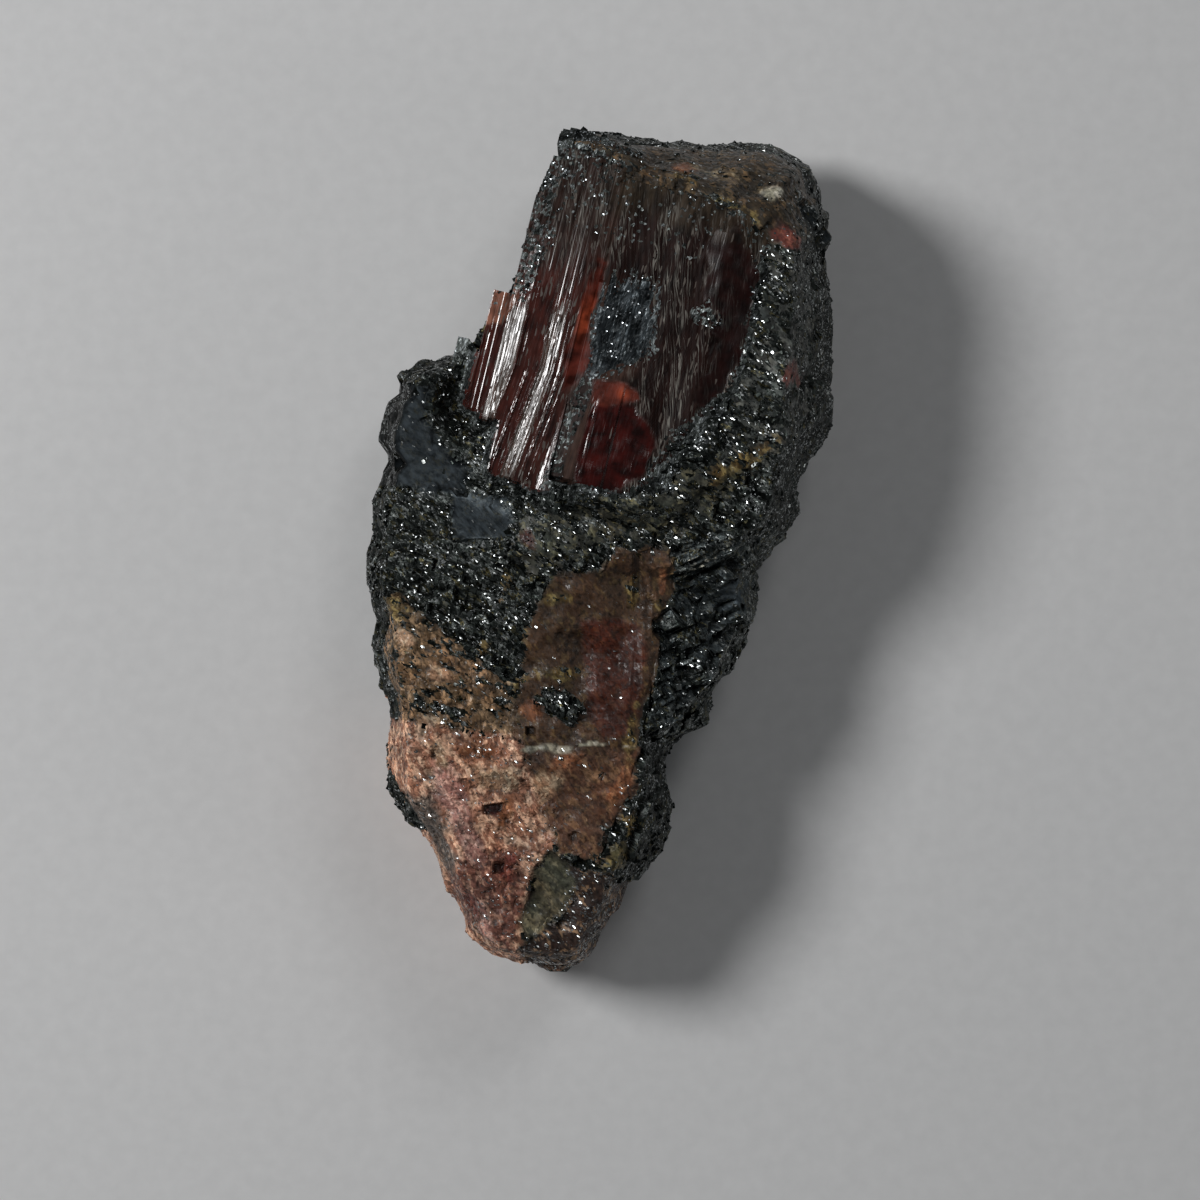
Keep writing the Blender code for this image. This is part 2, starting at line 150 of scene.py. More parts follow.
def select_corners(piece, chosen):
    """Opens the piece for editing with only the chosen corners selected."""
    bpy.ops.object.mode_set(mode="EDIT")
    bpy.ops.mesh.select_mode(type="VERT")
    bpy.ops.mesh.select_all(action="DESELECT")
    bpy.ops.object.mode_set(mode="OBJECT")
    piece.data.vertices.foreach_set("select", chosen)
    bpy.ops.object.mode_set(mode="EDIT")


def scatter(cells, seed):
    """A fixed random number from 0 to 1 for each whole-numbered cell."""
    cells = cells.astype(np.int64)
    mixed = np.full(cells.shape[:-1], seed * 7919 + 13, np.int64)
    for k, prime in enumerate((73856093, 19349663, 83492791)[: cells.shape[-1]]):
        mixed ^= cells[..., k] * prime
        mixed = (mixed ^ (mixed >> 13)) * 1274126177 & 0xFFFFFFFF
    mixed = (mixed ^ (mixed >> 16)) * 2246822519 & 0xFFFFFFFF
    mixed ^= mixed >> 13
    return (mixed & 0xFFFFFF) / float(0xFFFFFF)


def cloud(points, size, seed, octaves=1):
    """Smooth noise from -1 to 1 with lumps of about this size."""
    total, weight = np.zeros(len(points)), 0.0
    corners = [np.array(corner) for corner in np.ndindex(*(2,) * points.shape[1])]
    for octave in range(octaves):
        scaled = points / (size / 2**octave)
        base = np.floor(scaled)
        part = scaled - base
        part = part * part * (3 - 2 * part)
        value = np.zeros(len(points))
        for corner in corners:
            share = np.prod(np.where(corner == 1, part, 1 - part), axis=1)
            value += share * scatter(base + corner, seed + octave)
        total += (2 * value - 1) / 2**octave
        weight += 1 / 2**octave
    return total / weight


def smooth_step(low, high, value):
    share = np.clip((value - low) / (high - low), 0, 1)
    return share * share * (3 - 2 * share)


def outline_distance(x, y, outline):
    """How far each place lies inside an outline, in millimetres, below 0 outside it."""
    x, y = x[:, None], y[:, None]
    start = np.array(outline, float)
    side = np.roll(start, -1, axis=0) - start
    to_x, to_y = x - start[:, 0], y - start[:, 1]
    along = (to_x * side[:, 0] + to_y * side[:, 1]) / (side**2).sum(axis=1)
    along = np.clip(along, 0, 1)
    far = np.hypot(to_x - along * side[:, 0], to_y - along * side[:, 1]).min(axis=1)
    above = start[:, 1] > y
    next_above = np.roll(start[:, 1], -1) > y
    level = np.where(side[:, 1] == 0, 1.0, side[:, 1])
    cross = start[:, 0] + (y - start[:, 1]) * side[:, 0] / level
    inside = ((above != next_above) & (x < cross)).sum(axis=1) % 2 == 1
    return np.where(inside, far, -far)


def front_heights(tree, x, y):
    """The height of a front at each place, and nan where there is none."""
    heights = np.full(x.shape, np.nan)
    for number, (a, b) in enumerate(zip(x.ravel(), y.ravel())):
        hit = tree.ray_cast(Vector((a, b, ABOVE_ALL_MM)) * MM, Vector((0, 0, -1)))[0]
        if hit:
            heights.flat[number] = hit.z / MM
    return heights


def to_columns(x, y):
    """Places across and along the columns."""
    c, s = math.cos(math.radians(COLUMN_LEAN)), math.sin(math.radians(COLUMN_LEAN))
    return x * c - y * s, x * s + y * c


def from_columns(across, along):
    c, s = math.cos(math.radians(COLUMN_LEAN)), math.sin(math.radians(COLUMN_LEAN))
    return across * c + along * s, along * c - across * s


def blurred(values, reach_across, reach_along):
    """Evens out a grid of heights over these distances in millimetres."""
    for axis, reach in ((0, reach_across / ACROSS_STEP_MM), (1, reach_along / ALONG_STEP_MM)):
        count = max(1, int(round(reach)))
        shape = np.hanning(2 * count + 3)[1:-1]
        shape /= shape.sum()
        padded = np.pad(values, [(count, count) if a == axis else (0, 0) for a in (0, 1)], mode="edge")
        values = np.apply_along_axis(lambda line: np.convolve(line, shape, "valid"), axis, padded)
    return values


# Faces and coatings, outlined across and along the columns, and how ragged each rim is.
CRYSTAL_FACES = {
    "face": ([(-5, 15.1), (-4.9, 8.1), (-4.1, 6.7), (-1.4, 6.5), (0.9, 8), (2.9, 9.6), (3.5, 13.2),
              (1.6, 15.6), (0, 17.1), (-2.2, 16.9), (-4.6, 16.6)], 0.6),
    "top": ([(-5, 16.4), (-5, 18.8), (-1.2, 19.8), (-0.2, 18.2), (-2.2, 16.9)], 0.8),
    "sliver": ([(-8.7, 33.6), (-7, 32.8), (-6.9, 30.2), (-7.6, 26.3), (-6.4, 21.6), (-7.1, 18.2),
                (-8.7, 16.9), (-9.2, 22.8), (-8.8, 29.1)], 0.4),
    "recess": ([(-8.3, 4), (-8.2, 10), (-7.6, 15.5), (-6.6, 20.5), (-4.9, 20.5), (-5.5, 14), (-6.4, 10),
                (-6.2, 4)], 0.5),
    "lens": ([(4.4, 39.3), (6.8, 39.9), (9.6, 33.6), (11.3, 25.9), (10.4, 21.2), (7, 19.5), (6.7, 26.7),
              (5.1, 32.5)], 1.4),
    "cap": ([(-19.6, 22.6), (-19.6, 28.4), (-16.9, 28.4), (-16.9, 23.8)], 0.9),
    "speck": ([(3.9, 29.4), (5.4, 30.6), (7, 29), (5.6, 27.6)], 0.9),
}
GALENA_PATCH = [(-7.2, 24.8), (-6.8, 29.9), (-4.2, 32.1), (-1.1, 31), (0.2, 25.7), (-0.6, 22.3),
                (-3.3, 20.4), (-5.9, 19.5), (-6.5, 21.5)]

# Where the laths end, and where coats and fibres set in or end: from here to there, across
# or along the columns.
LATHS_END_ACROSS = (-8.4, -7.4)
UPPER_COAT_ALONG = (34, 45)
RIGHT_COAT_ACROSS = (9.4, 10.6)
LOW_RIGHT_COAT_ACROSS = (1.5, 4.5)
SHOULDER_ACROSS, SHOULDER_ALONG = (-13.5, -15.5), (26, 30)
FIBRES_ACROSS = (-2.5, 0.0)
FIBRES_END_ACROSS = (9.5, 12)
ABOVE_PATCH_ACROSS, ABOVE_PATCH_ALONG = (-7.4, -6.6), (29, 32)

# The five long laths on the left: across from and to, how far each front is tilted to
# the left in degrees, and how pale its frosting is.
LATHS = [(-19.8, -17.1, 1, 0.0), (-17.1, -14.9, 20, 0.9), (-14.9, -11.9, -2, 0.05),
         (-11.9, -10.2, 20, 0.9), (-10.2, -7.5, -1, 0.2)]
GROOVE, GROOVE_TOP_MM, GROOVE_DEPTH_MM = (-8.8, -4.4), 20.4, 0.7  # across from and to
GEM_RIGHT_MM, GEM_END_MM = 5.5, 9.6  # across and along
GEM_ROUNDING_MM = 3.0  # the gem's end falls by 1 mm over this length
GEM_EDGE_MM, GEM_EDGE_WIDTH_MM = 0.17, 0.45  # a narrow face along its left edge rises by so much
PATCH_SUNK_MM = 0.12
RIDGE_MM = 0.2
PALE_TO_MM = 25.0  # along the columns, the laths' pale frosting ends about here
UPPER_TURN = -17  # the upper parts of the pale laths face straighter out by this many degrees
FAN_FROM_MM, FAN = 19.0, 0.12  # below here the laths lean a little more

# Thin bright edges between the faces: across, along from and to.
RIDGES = [(-19.3, 12, 23), (-14.7, 14, 26), (-13.1, 4, 19), (-11.9, 4, 24), (-9.3, 8, 22),
          (-8.7, 19, 28), (-4.2, 7, 17)]

# Sets of furrows: their width, the length over which one keeps its tilt, their slope, and
# the seed of their random draws.
LATH_FURROWS = [(0.8, 40.0, 0.12, 77), (0.35, 14.0, 0.16, 71), (0.19, 4.0, 0.16, 75)]
BROAD_FURROWS = [(0.6, 12.0, 0.08, 85), (0.27, 6.0, 0.2, 87)]
OTHER_FURROWS = [(0.4, 5.0, 0.16, 89)]


def fanned(u, v):
    """The place across the laths, which fan out towards their lower ends."""
    return u + FAN * np.maximum(0, FAN_FROM_MM - v) * smooth_step(-16.8, -15.5, u) * smooth_step(-5, -8, u)


def crystal_parts(u, v):
    """The share of each kind of crystal face at places across and along the columns."""
    wander = cloud(np.stack([u / 3, v], axis=1), 3.0, 31, 3)
    wander += 0.7 * cloud(np.stack([u, v / 2], axis=1), 1.1, 32, 2)
    streaky = cloud(np.stack([4 * u, v / 1.5], axis=1), 1.5, 34, 3)
    parts = {}
    for name, (outline, rim) in CRYSTAL_FACES.items():
        parts[name] = smooth_step(-0.25, 0.25, outline_distance(u, v, outline) + rim * wander)
    ragged = 1.0 * wander + 1.6 * streaky * smooth_step(23, 29, v)
    parts["patch"] = smooth_step(-0.9, 1.0, outline_distance(u, v, GALENA_PATCH) + ragged)
    parts["laths"] = 1 - smooth_step(*LATHS_END_ACROSS, u + 0.3 * wander)
    parts["pale"] = np.zeros(len(u))
    lath = fanned(u, v)
    for left, right, _, frosting in LATHS:
        sideways = smooth_step(left - 0.1, left + 0.1, lath) * smooth_step(right + 0.1, right - 0.1, lath)
        parts["pale"] += frosting * sideways
    parts["pale"] *= smooth_step(PALE_TO_MM + 6, PALE_TO_MM - 4, v + 4 * wander)
    parts["ridge"] = np.zeros(len(u))
    for across, bottom, top in RIDGES:
        ends = smooth_step(bottom, bottom + 2, v) * smooth_step(top, top - 2, v)
        parts["ridge"] = np.maximum(parts["ridge"], smooth_step(0.3, 0.0, np.abs(lath - across)) * ends)
    parts["clean"] = np.maximum.reduce([parts["face"], 0.9 * parts["top"], 0.9 * parts["sliver"],
                                        0.85 * parts["lens"] * (1 - parts["speck"])])
    upper = smooth_step(*UPPER_COAT_ALONG, v + 3 * wander) * (1 - 0.8 * parts["lens"])
    right_side = smooth_step(*RIGHT_COAT_ACROSS, u + 0.9 * wander)
    low_right = smooth_step(*LOW_RIGHT_COAT_ACROSS, u + 0.9 * wander - 0.5 * (v - 9.5))
    shoulder = 0.6 * smooth_step(*SHOULDER_ACROSS, u + wander)
    shoulder *= smooth_step(*SHOULDER_ALONG, v + 2 * wander)
    coats = [shoulder, parts["patch"], 0.5 * parts["recess"], 0.3 * upper, right_side, low_right,
             0.6 * parts["speck"]]
    parts["coat"] = np.clip(np.maximum.reduce(coats) - parts["clean"], 0, 1)
    above_patch = smooth_step(*ABOVE_PATCH_ACROSS, u) * smooth_step(*ABOVE_PATCH_ALONG, v + wander)
    broad = np.maximum(smooth_step(*FIBRES_ACROSS, u), above_patch)
    parts["fibrous"] = (1 - parts["clean"]) * broad * (1 - smooth_step(*FIBRES_END_ACROSS, u))
    return parts


def furrows(across, along, width, run, slope, seed):
    """Flat-sided furrows: each strip has its own tilt, which changes along its run."""
    chance = np.random.default_rng(seed)
    edges = np.cumsum(chance.uniform(0.6 * width, 1.5 * width, int(110 / width))) - 40.0
    where = np.searchsorted(edges, across)
    middle = (edges[where] + edges[where - 1]) / 2
    stretch = np.floor(along / run + scatter(where[:, None], seed))
    cells = np.stack([where, stretch], axis=1)
    tilt = (2 * scatter(cells, seed + 1) - 1) * slope
    return tilt * (across - middle) + (scatter(cells, seed + 2) - 0.5) * slope * width


def furrowed(across, along, sets):
    return sum(furrows(across, along, *one) for one in sets)


def crystal_relief(u, v, parts):
    """What stands out from the columns' plain fronts, in millimetres."""
    x, y = from_columns(u, v)
    wavy = 0.8 * cloud(np.stack([x / 4, y], axis=1), 6.0, 33, 2)
    place = np.stack([u, v], axis=1)
    lath = fanned(u, v)
    depth = parts["laths"] * (0.4 + 0.6 * smooth_step(0.2, 0.7, parts["pale"]))
    relief = depth * furrowed(lath, v, LATH_FURROWS)
    relief += parts["fibrous"] * furrowed(x + wavy, y, BROAD_FURROWS)
    between = (1 - parts["laths"]) * (1 - parts["fibrous"]) * (1 - 0.85 * parts["clean"])
    relief += between * furrowed(u + 0.5 * wavy, v, OTHER_FURROWS)
    relief += (0.3 - 0.15 * parts["sliver"]) * parts["clean"] * cloud(place, 2.8, 81, 2)
    relief += (0.35 - 0.2 * parts["patch"]) * parts["coat"] * cloud(place, 0.9, 83, 3)
    relief -= PATCH_SUNK_MM * parts["patch"]
    relief += RIDGE_MM * parts["ridge"]
    gem_edge = GEM_EDGE_MM * np.clip((u - GROOVE[1]) / GEM_EDGE_WIDTH_MM, 0, 1)
    relief += gem_edge * smooth_step(1, -3, u) * smooth_step(19, 16, v)
    return relief


solids = {node: copy_of_node(node, node + "_shape") for node in ("rhodonite_crystal", "galena_matrix")}
graph = bpy.context.evaluated_depsgraph_get()
trees = {node: BVHTree.FromObject(solid, graph) for node, solid in solids.items()}
across, along = to_columns(*corners_mm(solids["rhodonite_crystal"])[:, :2].T)
for solid in solids.values():
    bpy.data.objects.remove(solid)

us = np.arange(across.min() - 3.0, across.max() + 3.0, ACROSS_STEP_MM)
vs = np.arange(along.min() - 3.0, along.max() + 3.0, ALONG_STEP_MM)
grid_u, grid_v = np.meshgrid(us, vs, indexing="ij")
grid_x, grid_y = from_columns(grid_u, grid_v)
height = np.nan_to_num(front_heights(trees["rhodonite_crystal"], grid_x, grid_y))
chipped = (grid_y > CHIP_FROM_MM[1]) & (grid_x < CHIP_FROM_MM[0] + CHIP_SLANT * (grid_y - CHIP_FROM_MM[1]))
on_crystal = (height > FRONT_LOWEST_MM) & ~chipped

# The columns end square, so their last rows are as high as their fronts.
beside = np.pad(np.where(on_crystal, height, 0), [(0, 0), (END_ROWS, END_ROWS)])
squared = np.max([beside[:, k : k + len(vs)] for k in range(2 * END_ROWS + 1)], axis=0)
height = np.where(on_crystal, squared, height)

# A shallow groove, filled with grey ore, runs between the laths and the gem's face.
left_at, right_at = np.searchsorted(us, GROOVE[0]), np.searchsorted(us, GROOVE[1])
share = np.clip((grid_u - GROOVE[0]) / (GROOVE[1] - GROOVE[0]), 0, 1)
filled = height[left_at] * (1 - share) + height[right_at] * share
filled -= GROOVE_DEPTH_MM * np.sin(math.pi * share)
in_groove = (grid_u > GROOVE[0]) & (grid_u < GROOVE[1]) & (grid_v < GROOVE_TOP_MM)
height = np.where(in_groove & on_crystal, np.maximum(height, filled), height)

# The gem's lower end is rounded down to the rock.
end_row = np.searchsorted(vs, GEM_END_MM)
at_end = on_crystal & (grid_u > GROOVE[0]) & (grid_u < GEM_RIGHT_MM) & (grid_v < GEM_END_MM)
rounded = height[:, end_row][:, None] - ((GEM_END_MM - grid_v) / GEM_ROUNDING_MM) ** 2
height = np.where(at_end, np.maximum(height, rounded), height)

# The rim of the crystal's front, so that what lies around it can be set to its height.
solid_part = on_crystal.astype(float)
ring = on_crystal & (blurred(solid_part, 0.5, 1.0) < 0.999) & (blurred(solid_part, 0.1, 0.35) > 0.999)
rim_heights = height[ring]
rim = KDTree(len(rim_heights))
for number, (x, y) in enumerate(zip(grid_x[ring], grid_y[ring])):
    rim.insert((x, y, 0), number)
rim.balance()


def from_rim(x, y):
    """How far each place is from the crystal's rim, and how high the rim is there."""
    found = [rim.find((a, b, 0)) for a, b in zip(x.ravel(), y.ravel())]
    far = np.array([hit[2] for hit in found]).reshape(x.shape)
    high = rim_heights[[hit[1] for hit in found]].reshape(x.shape)
    return far, high


# The rock comes up to the laths on the left well below their fronts, and elsewhere
# runs on level from the crystal.
STANDING_PROUD_MM = 0.7


def rock_drop(x, y):
    """How far below the crystal's rim the rock around it lies."""
    u, v = to_columns(x, y)
    beside_laths = smooth_step(-13.5, -16.5, u)
    below_laths = smooth_step(-7, -9, u) * smooth_step(20, 14, v)
    return 0.15 + STANDING_PROUD_MM * np.maximum(beside_laths, 0.5 * below_laths)


far, rim_height = from_rim(grid_x, grid_y)
rock_front = np.nan_to_num(front_heights(trees["galena_matrix"], grid_x, grid_y))
is_rock = rock_front > np.maximum(ROCK_LOWEST_MM, rim_height - ROCK_BELOW_RIM_MM)
beside_rock = blurred(is_rock.astype(float), 1.8, 1.8) > 0.01
kept = on_crystal | ((far < ROCK_REACH_MM) & beside_rock)
outside = rim_height - rock_drop(grid_x, grid_y) * smooth_step(0.2, 1.2, far)
outside -= 0.7 * np.maximum(0, far - 1.3)
height = np.where(on_crystal, height, outside)
even = blurred(height, 2.5, 3.0)
height = np.where(on_crystal & (grid_u > 0) & (even - height > PIT_DEPTH_MM), even, height)

# Each lath lies at its own tilt, one above the next like low steps.
even = blurred(height, 1.6, 3.0)
lath = fanned(grid_u, grid_v)
for left, right, tilt, frosting in LATHS:
    middle = (left + right) / 2
    shift = middle - FAN * np.maximum(0, FAN_FROM_MM - vs) * (middle > -16.0)
    level = np.array([np.interp(place, us, even[:, row]) for row, place in enumerate(shift)])
    upper = smooth_step(PALE_TO_MM - 3, PALE_TO_MM + 5, grid_v) * smooth_step(0, 0.8, frosting)
    front = level + np.tan(np.radians(tilt + UPPER_TURN * upper)) * (lath - middle)
    height = np.where(on_crystal & (lath >= left) & (lath < right), front, height)

# The right part is one broad, gently domed front, not separate columns.
above_gem = smooth_step(-7.8, -6.6, grid_u) * smooth_step(18, 20, grid_v)
broad = np.maximum(smooth_step(-1.5, 3.5, grid_u), above_gem)
height = height + broad * (blurred(height, 1.6, 2.5) - height)

u, v = grid_u.ravel(), grid_v.ravel()
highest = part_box("rhodonite_crystal")[1][2] / MM
height = height.ravel() + crystal_relief(u, v, crystal_parts(u, v))
height = np.clip(height, ROOT_HEIGHT_MM + 1, highest)

bpy.ops.mesh.primitive_grid_add(x_subdivisions=len(vs) - 1, y_subdivisions=len(us) - 1, size=1.0)
crystal = bpy.context.active_object
crystal.name = crystal.data.name = "crystal"
move_corners(crystal, np.stack([grid_x.ravel(), grid_y.ravel(), height], axis=1))
paint(crystal, "beyond", (~on_crystal).ravel() * smooth_step(0.2, 0.7, far.ravel()))
select_corners(crystal, ~kept.ravel())
bpy.ops.mesh.delete(type="VERT")
bpy.ops.object.mode_set(mode="OBJECT")

# Only the main body is kept, and its rim is drawn down to the root and closed.
points = corners_mm(crystal)
main = np.zeros(len(points), bool)
main[np.argmin(np.hypot(points[:, 0] - BODY_AT_MM[0], points[:, 1] - BODY_AT_MM[1]))] = True
select_corners(crystal, main)
bpy.ops.mesh.select_linked()
bpy.ops.mesh.select_all(action="INVERT")
bpy.ops.mesh.delete(type="VERT")
bpy.ops.mesh.select_all(action="DESELECT")
bpy.ops.mesh.select_non_manifold()
bpy.ops.mesh.extrude_region_move(TRANSFORM_OT_translate={"value": (0, 0, -MM)})
bpy.ops.object.mode_set(mode="OBJECT")
points = corners_mm(crystal)
points[[corner.select for corner in crystal.data.vertices], 2] = ROOT_HEIGHT_MM
move_corners(crystal, points)
bpy.ops.object.mode_set(mode="EDIT")
bpy.ops.mesh.edge_face_add()
bpy.ops.mesh.select_all(action="SELECT")
bpy.ops.mesh.normals_make_consistent(inside=False)
bpy.ops.object.mode_set(mode="OBJECT")

# The tall side on the left shows, so it is cut finely.
points = corners_mm(crystal)
ends = np.array([edge.vertices[:] for edge in crystal.data.edges])
tall = np.abs(points[ends[:, 0], 2] - points[ends[:, 1], 2]) > TALL_WALL_MM
on_left = to_columns(points[ends[:, 0], 0], points[ends[:, 0], 1])[0] < LEFT_WALL_MM
select_corners(crystal, np.zeros(len(points), bool))
bpy.ops.mesh.select_mode(type="EDGE")
bpy.ops.object.mode_set(mode="OBJECT")
crystal.data.edges.foreach_set("select", tall & on_left)
bpy.ops.object.mode_set(mode="EDIT")
bpy.ops.mesh.subdivide(number_cuts=WALL_CUTS)
bpy.ops.object.mode_set(mode="OBJECT")


def shade(red, green, blue):
    """A colour given in screen values from 0 to 255, as light."""
    screen = np.array([red, green, blue]) / 255.0
    return np.where(screen <= 0.04045, screen / 12.92, ((screen + 0.055) / 1.055) ** 2.4)


def opaque(red, green, blue):
    """The same as a colour for a material."""
    return (*shade(red, green, blue), 1)


def toned(colours, share, colour):
    """The colours with this share of another one mixed in."""
    return colours + share[:, None] * (colour - colours)


CRYSTAL_COLOURS = {
    "laths": shade(66, 28, 22),
    "fibrous": shade(30, 16, 13),
    "pale": shade(74, 56, 48),
    "lens": shade(29, 10, 8),
    "recess": shade(54, 44, 42),
    "sliver": shade(80, 32, 24),
    "face": shade(52, 12, 9),
    "top": shade(90, 40, 30),
    "cap": shade(140, 92, 74),
}
CRYSTAL_BROWN, GLOW = shade(60, 44, 38), shade(180, 78, 42)
UPPER_BROWN, DUST = shade(36, 29, 24), shade(62, 53, 42)
FROST = {"laths": 0.05, "pale": 0.32, "fibrous": 0.03}  # the share of frosted grains on each
points = corners_mm(crystal)
u, v = to_columns(points[:, 0], points[:, 1])
parts = crystal_parts(u, v)
parts["cap"] *= smooth_step(18.6, 19.6, points[:, 2])
body = np.tile(CRYSTAL_BROWN, (len(points), 1))
for name, colour in CRYSTAL_COLOURS.items():
    body = toned(body, parts[name], colour)
glow = parts["sliver"] * smooth_step(2.6, 0.0, np.hypot(u + 8.0, (v - 25.8) / 1.6))
glow = np.maximum(glow, parts["top"] * smooth_step(1.2, 0.0, np.hypot(u + 1.6, v - 18.4)))
body = toned(body, 0.4 * glow, GLOW)
upper = smooth_step(26, 38, v) * parts["laths"]
body = toned(body, 0.8 * upper, UPPER_BROWN)
ragged = cloud(points[:, :2], 2.0, 35, 3)
dusty = smooth_step(37, 42, v + 2.5 * ragged) * smooth_step(-12, -5, u + 3 * ragged)
body = toned(body, 0.8 * dusty, DUST)
paint_colour(crystal, "body", body)
frosted = sum(share * parts[name] for name, share in FROST.items())
paint(crystal, "frosted", frosted * (1 - parts["clean"]) + 0.004)
paint(crystal, "hairy", (parts["fibrous"] + 0.8 * upper + 0.7 * parts["recess"]) * (1 - 0.7 * dusty))
paint(crystal, "clean", parts["clean"])
paint(crystal, "patch", parts["patch"])
glassy = parts["clean"] * (1 - 0.6 * parts["sliver"] - 0.3 * parts["lens"])
paint(crystal, "polish", np.maximum.reduce([glassy, parts["ridge"] * (1 - parts["sliver"]),
                                            parts["laths"] * (1 - 0.8 * upper) * (1 - parts["sliver"])]))
deep = smooth_step(18.8, 16.8, points[:, 2] + 1.5 * cloud(points, 2.0, 36, 3))
coat = np.maximum(parts["coat"], painted(crystal, "beyond"))
paint(crystal, "coat", np.maximum(coat * (1 - 0.7 * dusty), deep))


COLUMN_GRAIN_MM, COAT_GRAIN_MM, GLINT_MM = 0.16, 0.35, 0.16
ALONG_COLUMNS, ALONG_FIBRES = (1.0, 0.16, 1.0), (1.0, 0.045, 0.3)  # patterns drawn out in Y


class Finish:
    """A material, and short ways of adding nodes to it."""

    def __init__(self, name):
        self.material = bpy.data.materials.new(name)
        self.material.use_nodes = True
        self.tree = self.material.node_tree
        self.shader = self.tree.nodes["Principled BSDF"]

    def join(self, socket, source):
        if hasattr(source, "is_output"):
            self.tree.links.new(source, socket)
        else:
            socket.default_value = source

    def add(self, kind, inputs=None, **settings):
        node = self.tree.nodes.new(kind)
        for key, value in settings.items():
            setattr(node, key, value)
        for key, source in (inputs or {}).items():
            self.join(node.inputs[key], source)
        return node

    def place(self):
        return self.add("ShaderNodeTexCoord").outputs["Object"]

    def normal(self):
        return self.add("ShaderNodeNewGeometry").outputs["Normal"]

    def maths(self, operation, *values):
        return self.add("ShaderNodeMath", dict(enumerate(values)), operation=operation).outputs[0]

    def times(self, first, second):
        return self.maths("MULTIPLY", first, second)

    def vector(self, operation, *values):
        return self.add("ShaderNodeVectorMath", dict(enumerate(values)), operation=operation).outputs[0]

    def scaled(self, vector, amount):
        return self.add("ShaderNodeVectorMath", {0: vector, "Scale": amount}, operation="SCALE").outputs[0]

    def spread(self, value, low, high, to_low=0.0, to_high=1.0):
        return self.add("ShaderNodeMapRange", {0: value, 1: low, 2: high, 3: to_low, 4: to_high}).outputs[0]

    def mixed(self, share, first, second):
        return self.add("ShaderNodeMix", {0: share, 6: first, 7: second}, data_type="RGBA").outputs[2]

    def mixed_value(self, share, first, second):
        return self.add("ShaderNodeMix", {0: share, 2: first, 3: second}).outputs[0]

    def mixed_vector(self, share, first, second):
        return self.add("ShaderNodeMix", {0: share, 4: first, 5: second}, data_type="VECTOR").outputs[1]

    def attribute(self, name, output="Fac"):
        return self.add("ShaderNodeAttribute", attribute_name=name).outputs[output]

    def noise(self, place, size_mm, detail=3.0):
        inputs = {"Vector": place, "Scale": 1000.0 / size_mm, "Detail": detail}
        return self.add("ShaderNodeTexNoise", inputs).outputs["Fac"]

    def cloudy(self, place, size_mm, detail, *limits):
        """A noise, with the values between two limits spread out between two others."""
        return self.spread(self.noise(place, size_mm, detail), *limits)

    def wavering(self, place, lumps_a_metre, detail, amount):
        """The same place, pushed aside by a noise."""
        noise = self.add("ShaderNodeTexNoise", {"Vector": place, "Scale": lumps_a_metre, "Detail": detail})
        push = self.vector("SUBTRACT", noise.outputs["Color"], (0.5, 0.5, 0.5))
        return self.vector("ADD", place, self.scaled(push, amount))

    def grains(self, place, size_mm):
        """A random colour for each grain of about this size, and the three numbers in it."""
        cells = self.add("ShaderNodeTexVoronoi", {"Vector": place, "Scale": 1000.0 / size_mm})
        split = self.add("ShaderNodeSeparateColor", {0: cells.outputs["Color"]})
        return cells.outputs["Color"], split.outputs

    def tipped(self, normal, cell, amount):
        """Turns the facing by the grain's own random amount, as a small flat face does."""
        push = self.scaled(self.vector("SUBTRACT", cell, (0.5, 0.5, 0.5)), amount)
        return self.vector("NORMALIZE", self.vector("ADD", normal, push))

    def strokes(self, place, size_mm, width):
        """Short thin lines, where a noise of this size passes through its middle value."""
        contour = self.maths("ABSOLUTE", self.maths("SUBTRACT", self.noise(place, size_mm, 2.0), 0.5))
        return self.spread(contour, 0.35 * width, width, 1.0, 0.0)

    def along(self, place, turn, length):
        """The same place, drawn out so that grains lie long in one direction."""
        return self.add("ShaderNodeMapping", {"Vector": place, "Rotation": (0, 0, math.radians(turn)),
                                              "Scale": (length, 1.0, 1.0)}, vector_type="TEXTURE").outputs[0]

    def glints(self, place, normal, share):
        """Tiny clean faces in loose clusters: where they are, and the facing with them in."""
        cell, random = self.grains(place, GLINT_MM)
        clustered = self.times(share, self.cloudy(place, 3.0, 4.0, 0.38, 0.62, 0.0, 2.2))
        is_glint = self.maths("LESS_THAN", random[0], clustered)
        tipped = self.tipped(normal, cell, 0.9)
        return is_glint, self.mixed_vector(is_glint, normal, tipped)

    def bump(self, normal, height, strength, distance):
        return self.add("ShaderNodeBump", {"Strength": strength, "Distance": distance,
                                           "Height": height, "Normal": normal}).outputs[0]

    def set(self, **sources):
        for key, source in sources.items():
            self.join(self.shader.inputs[key.replace("_", " ")], source)


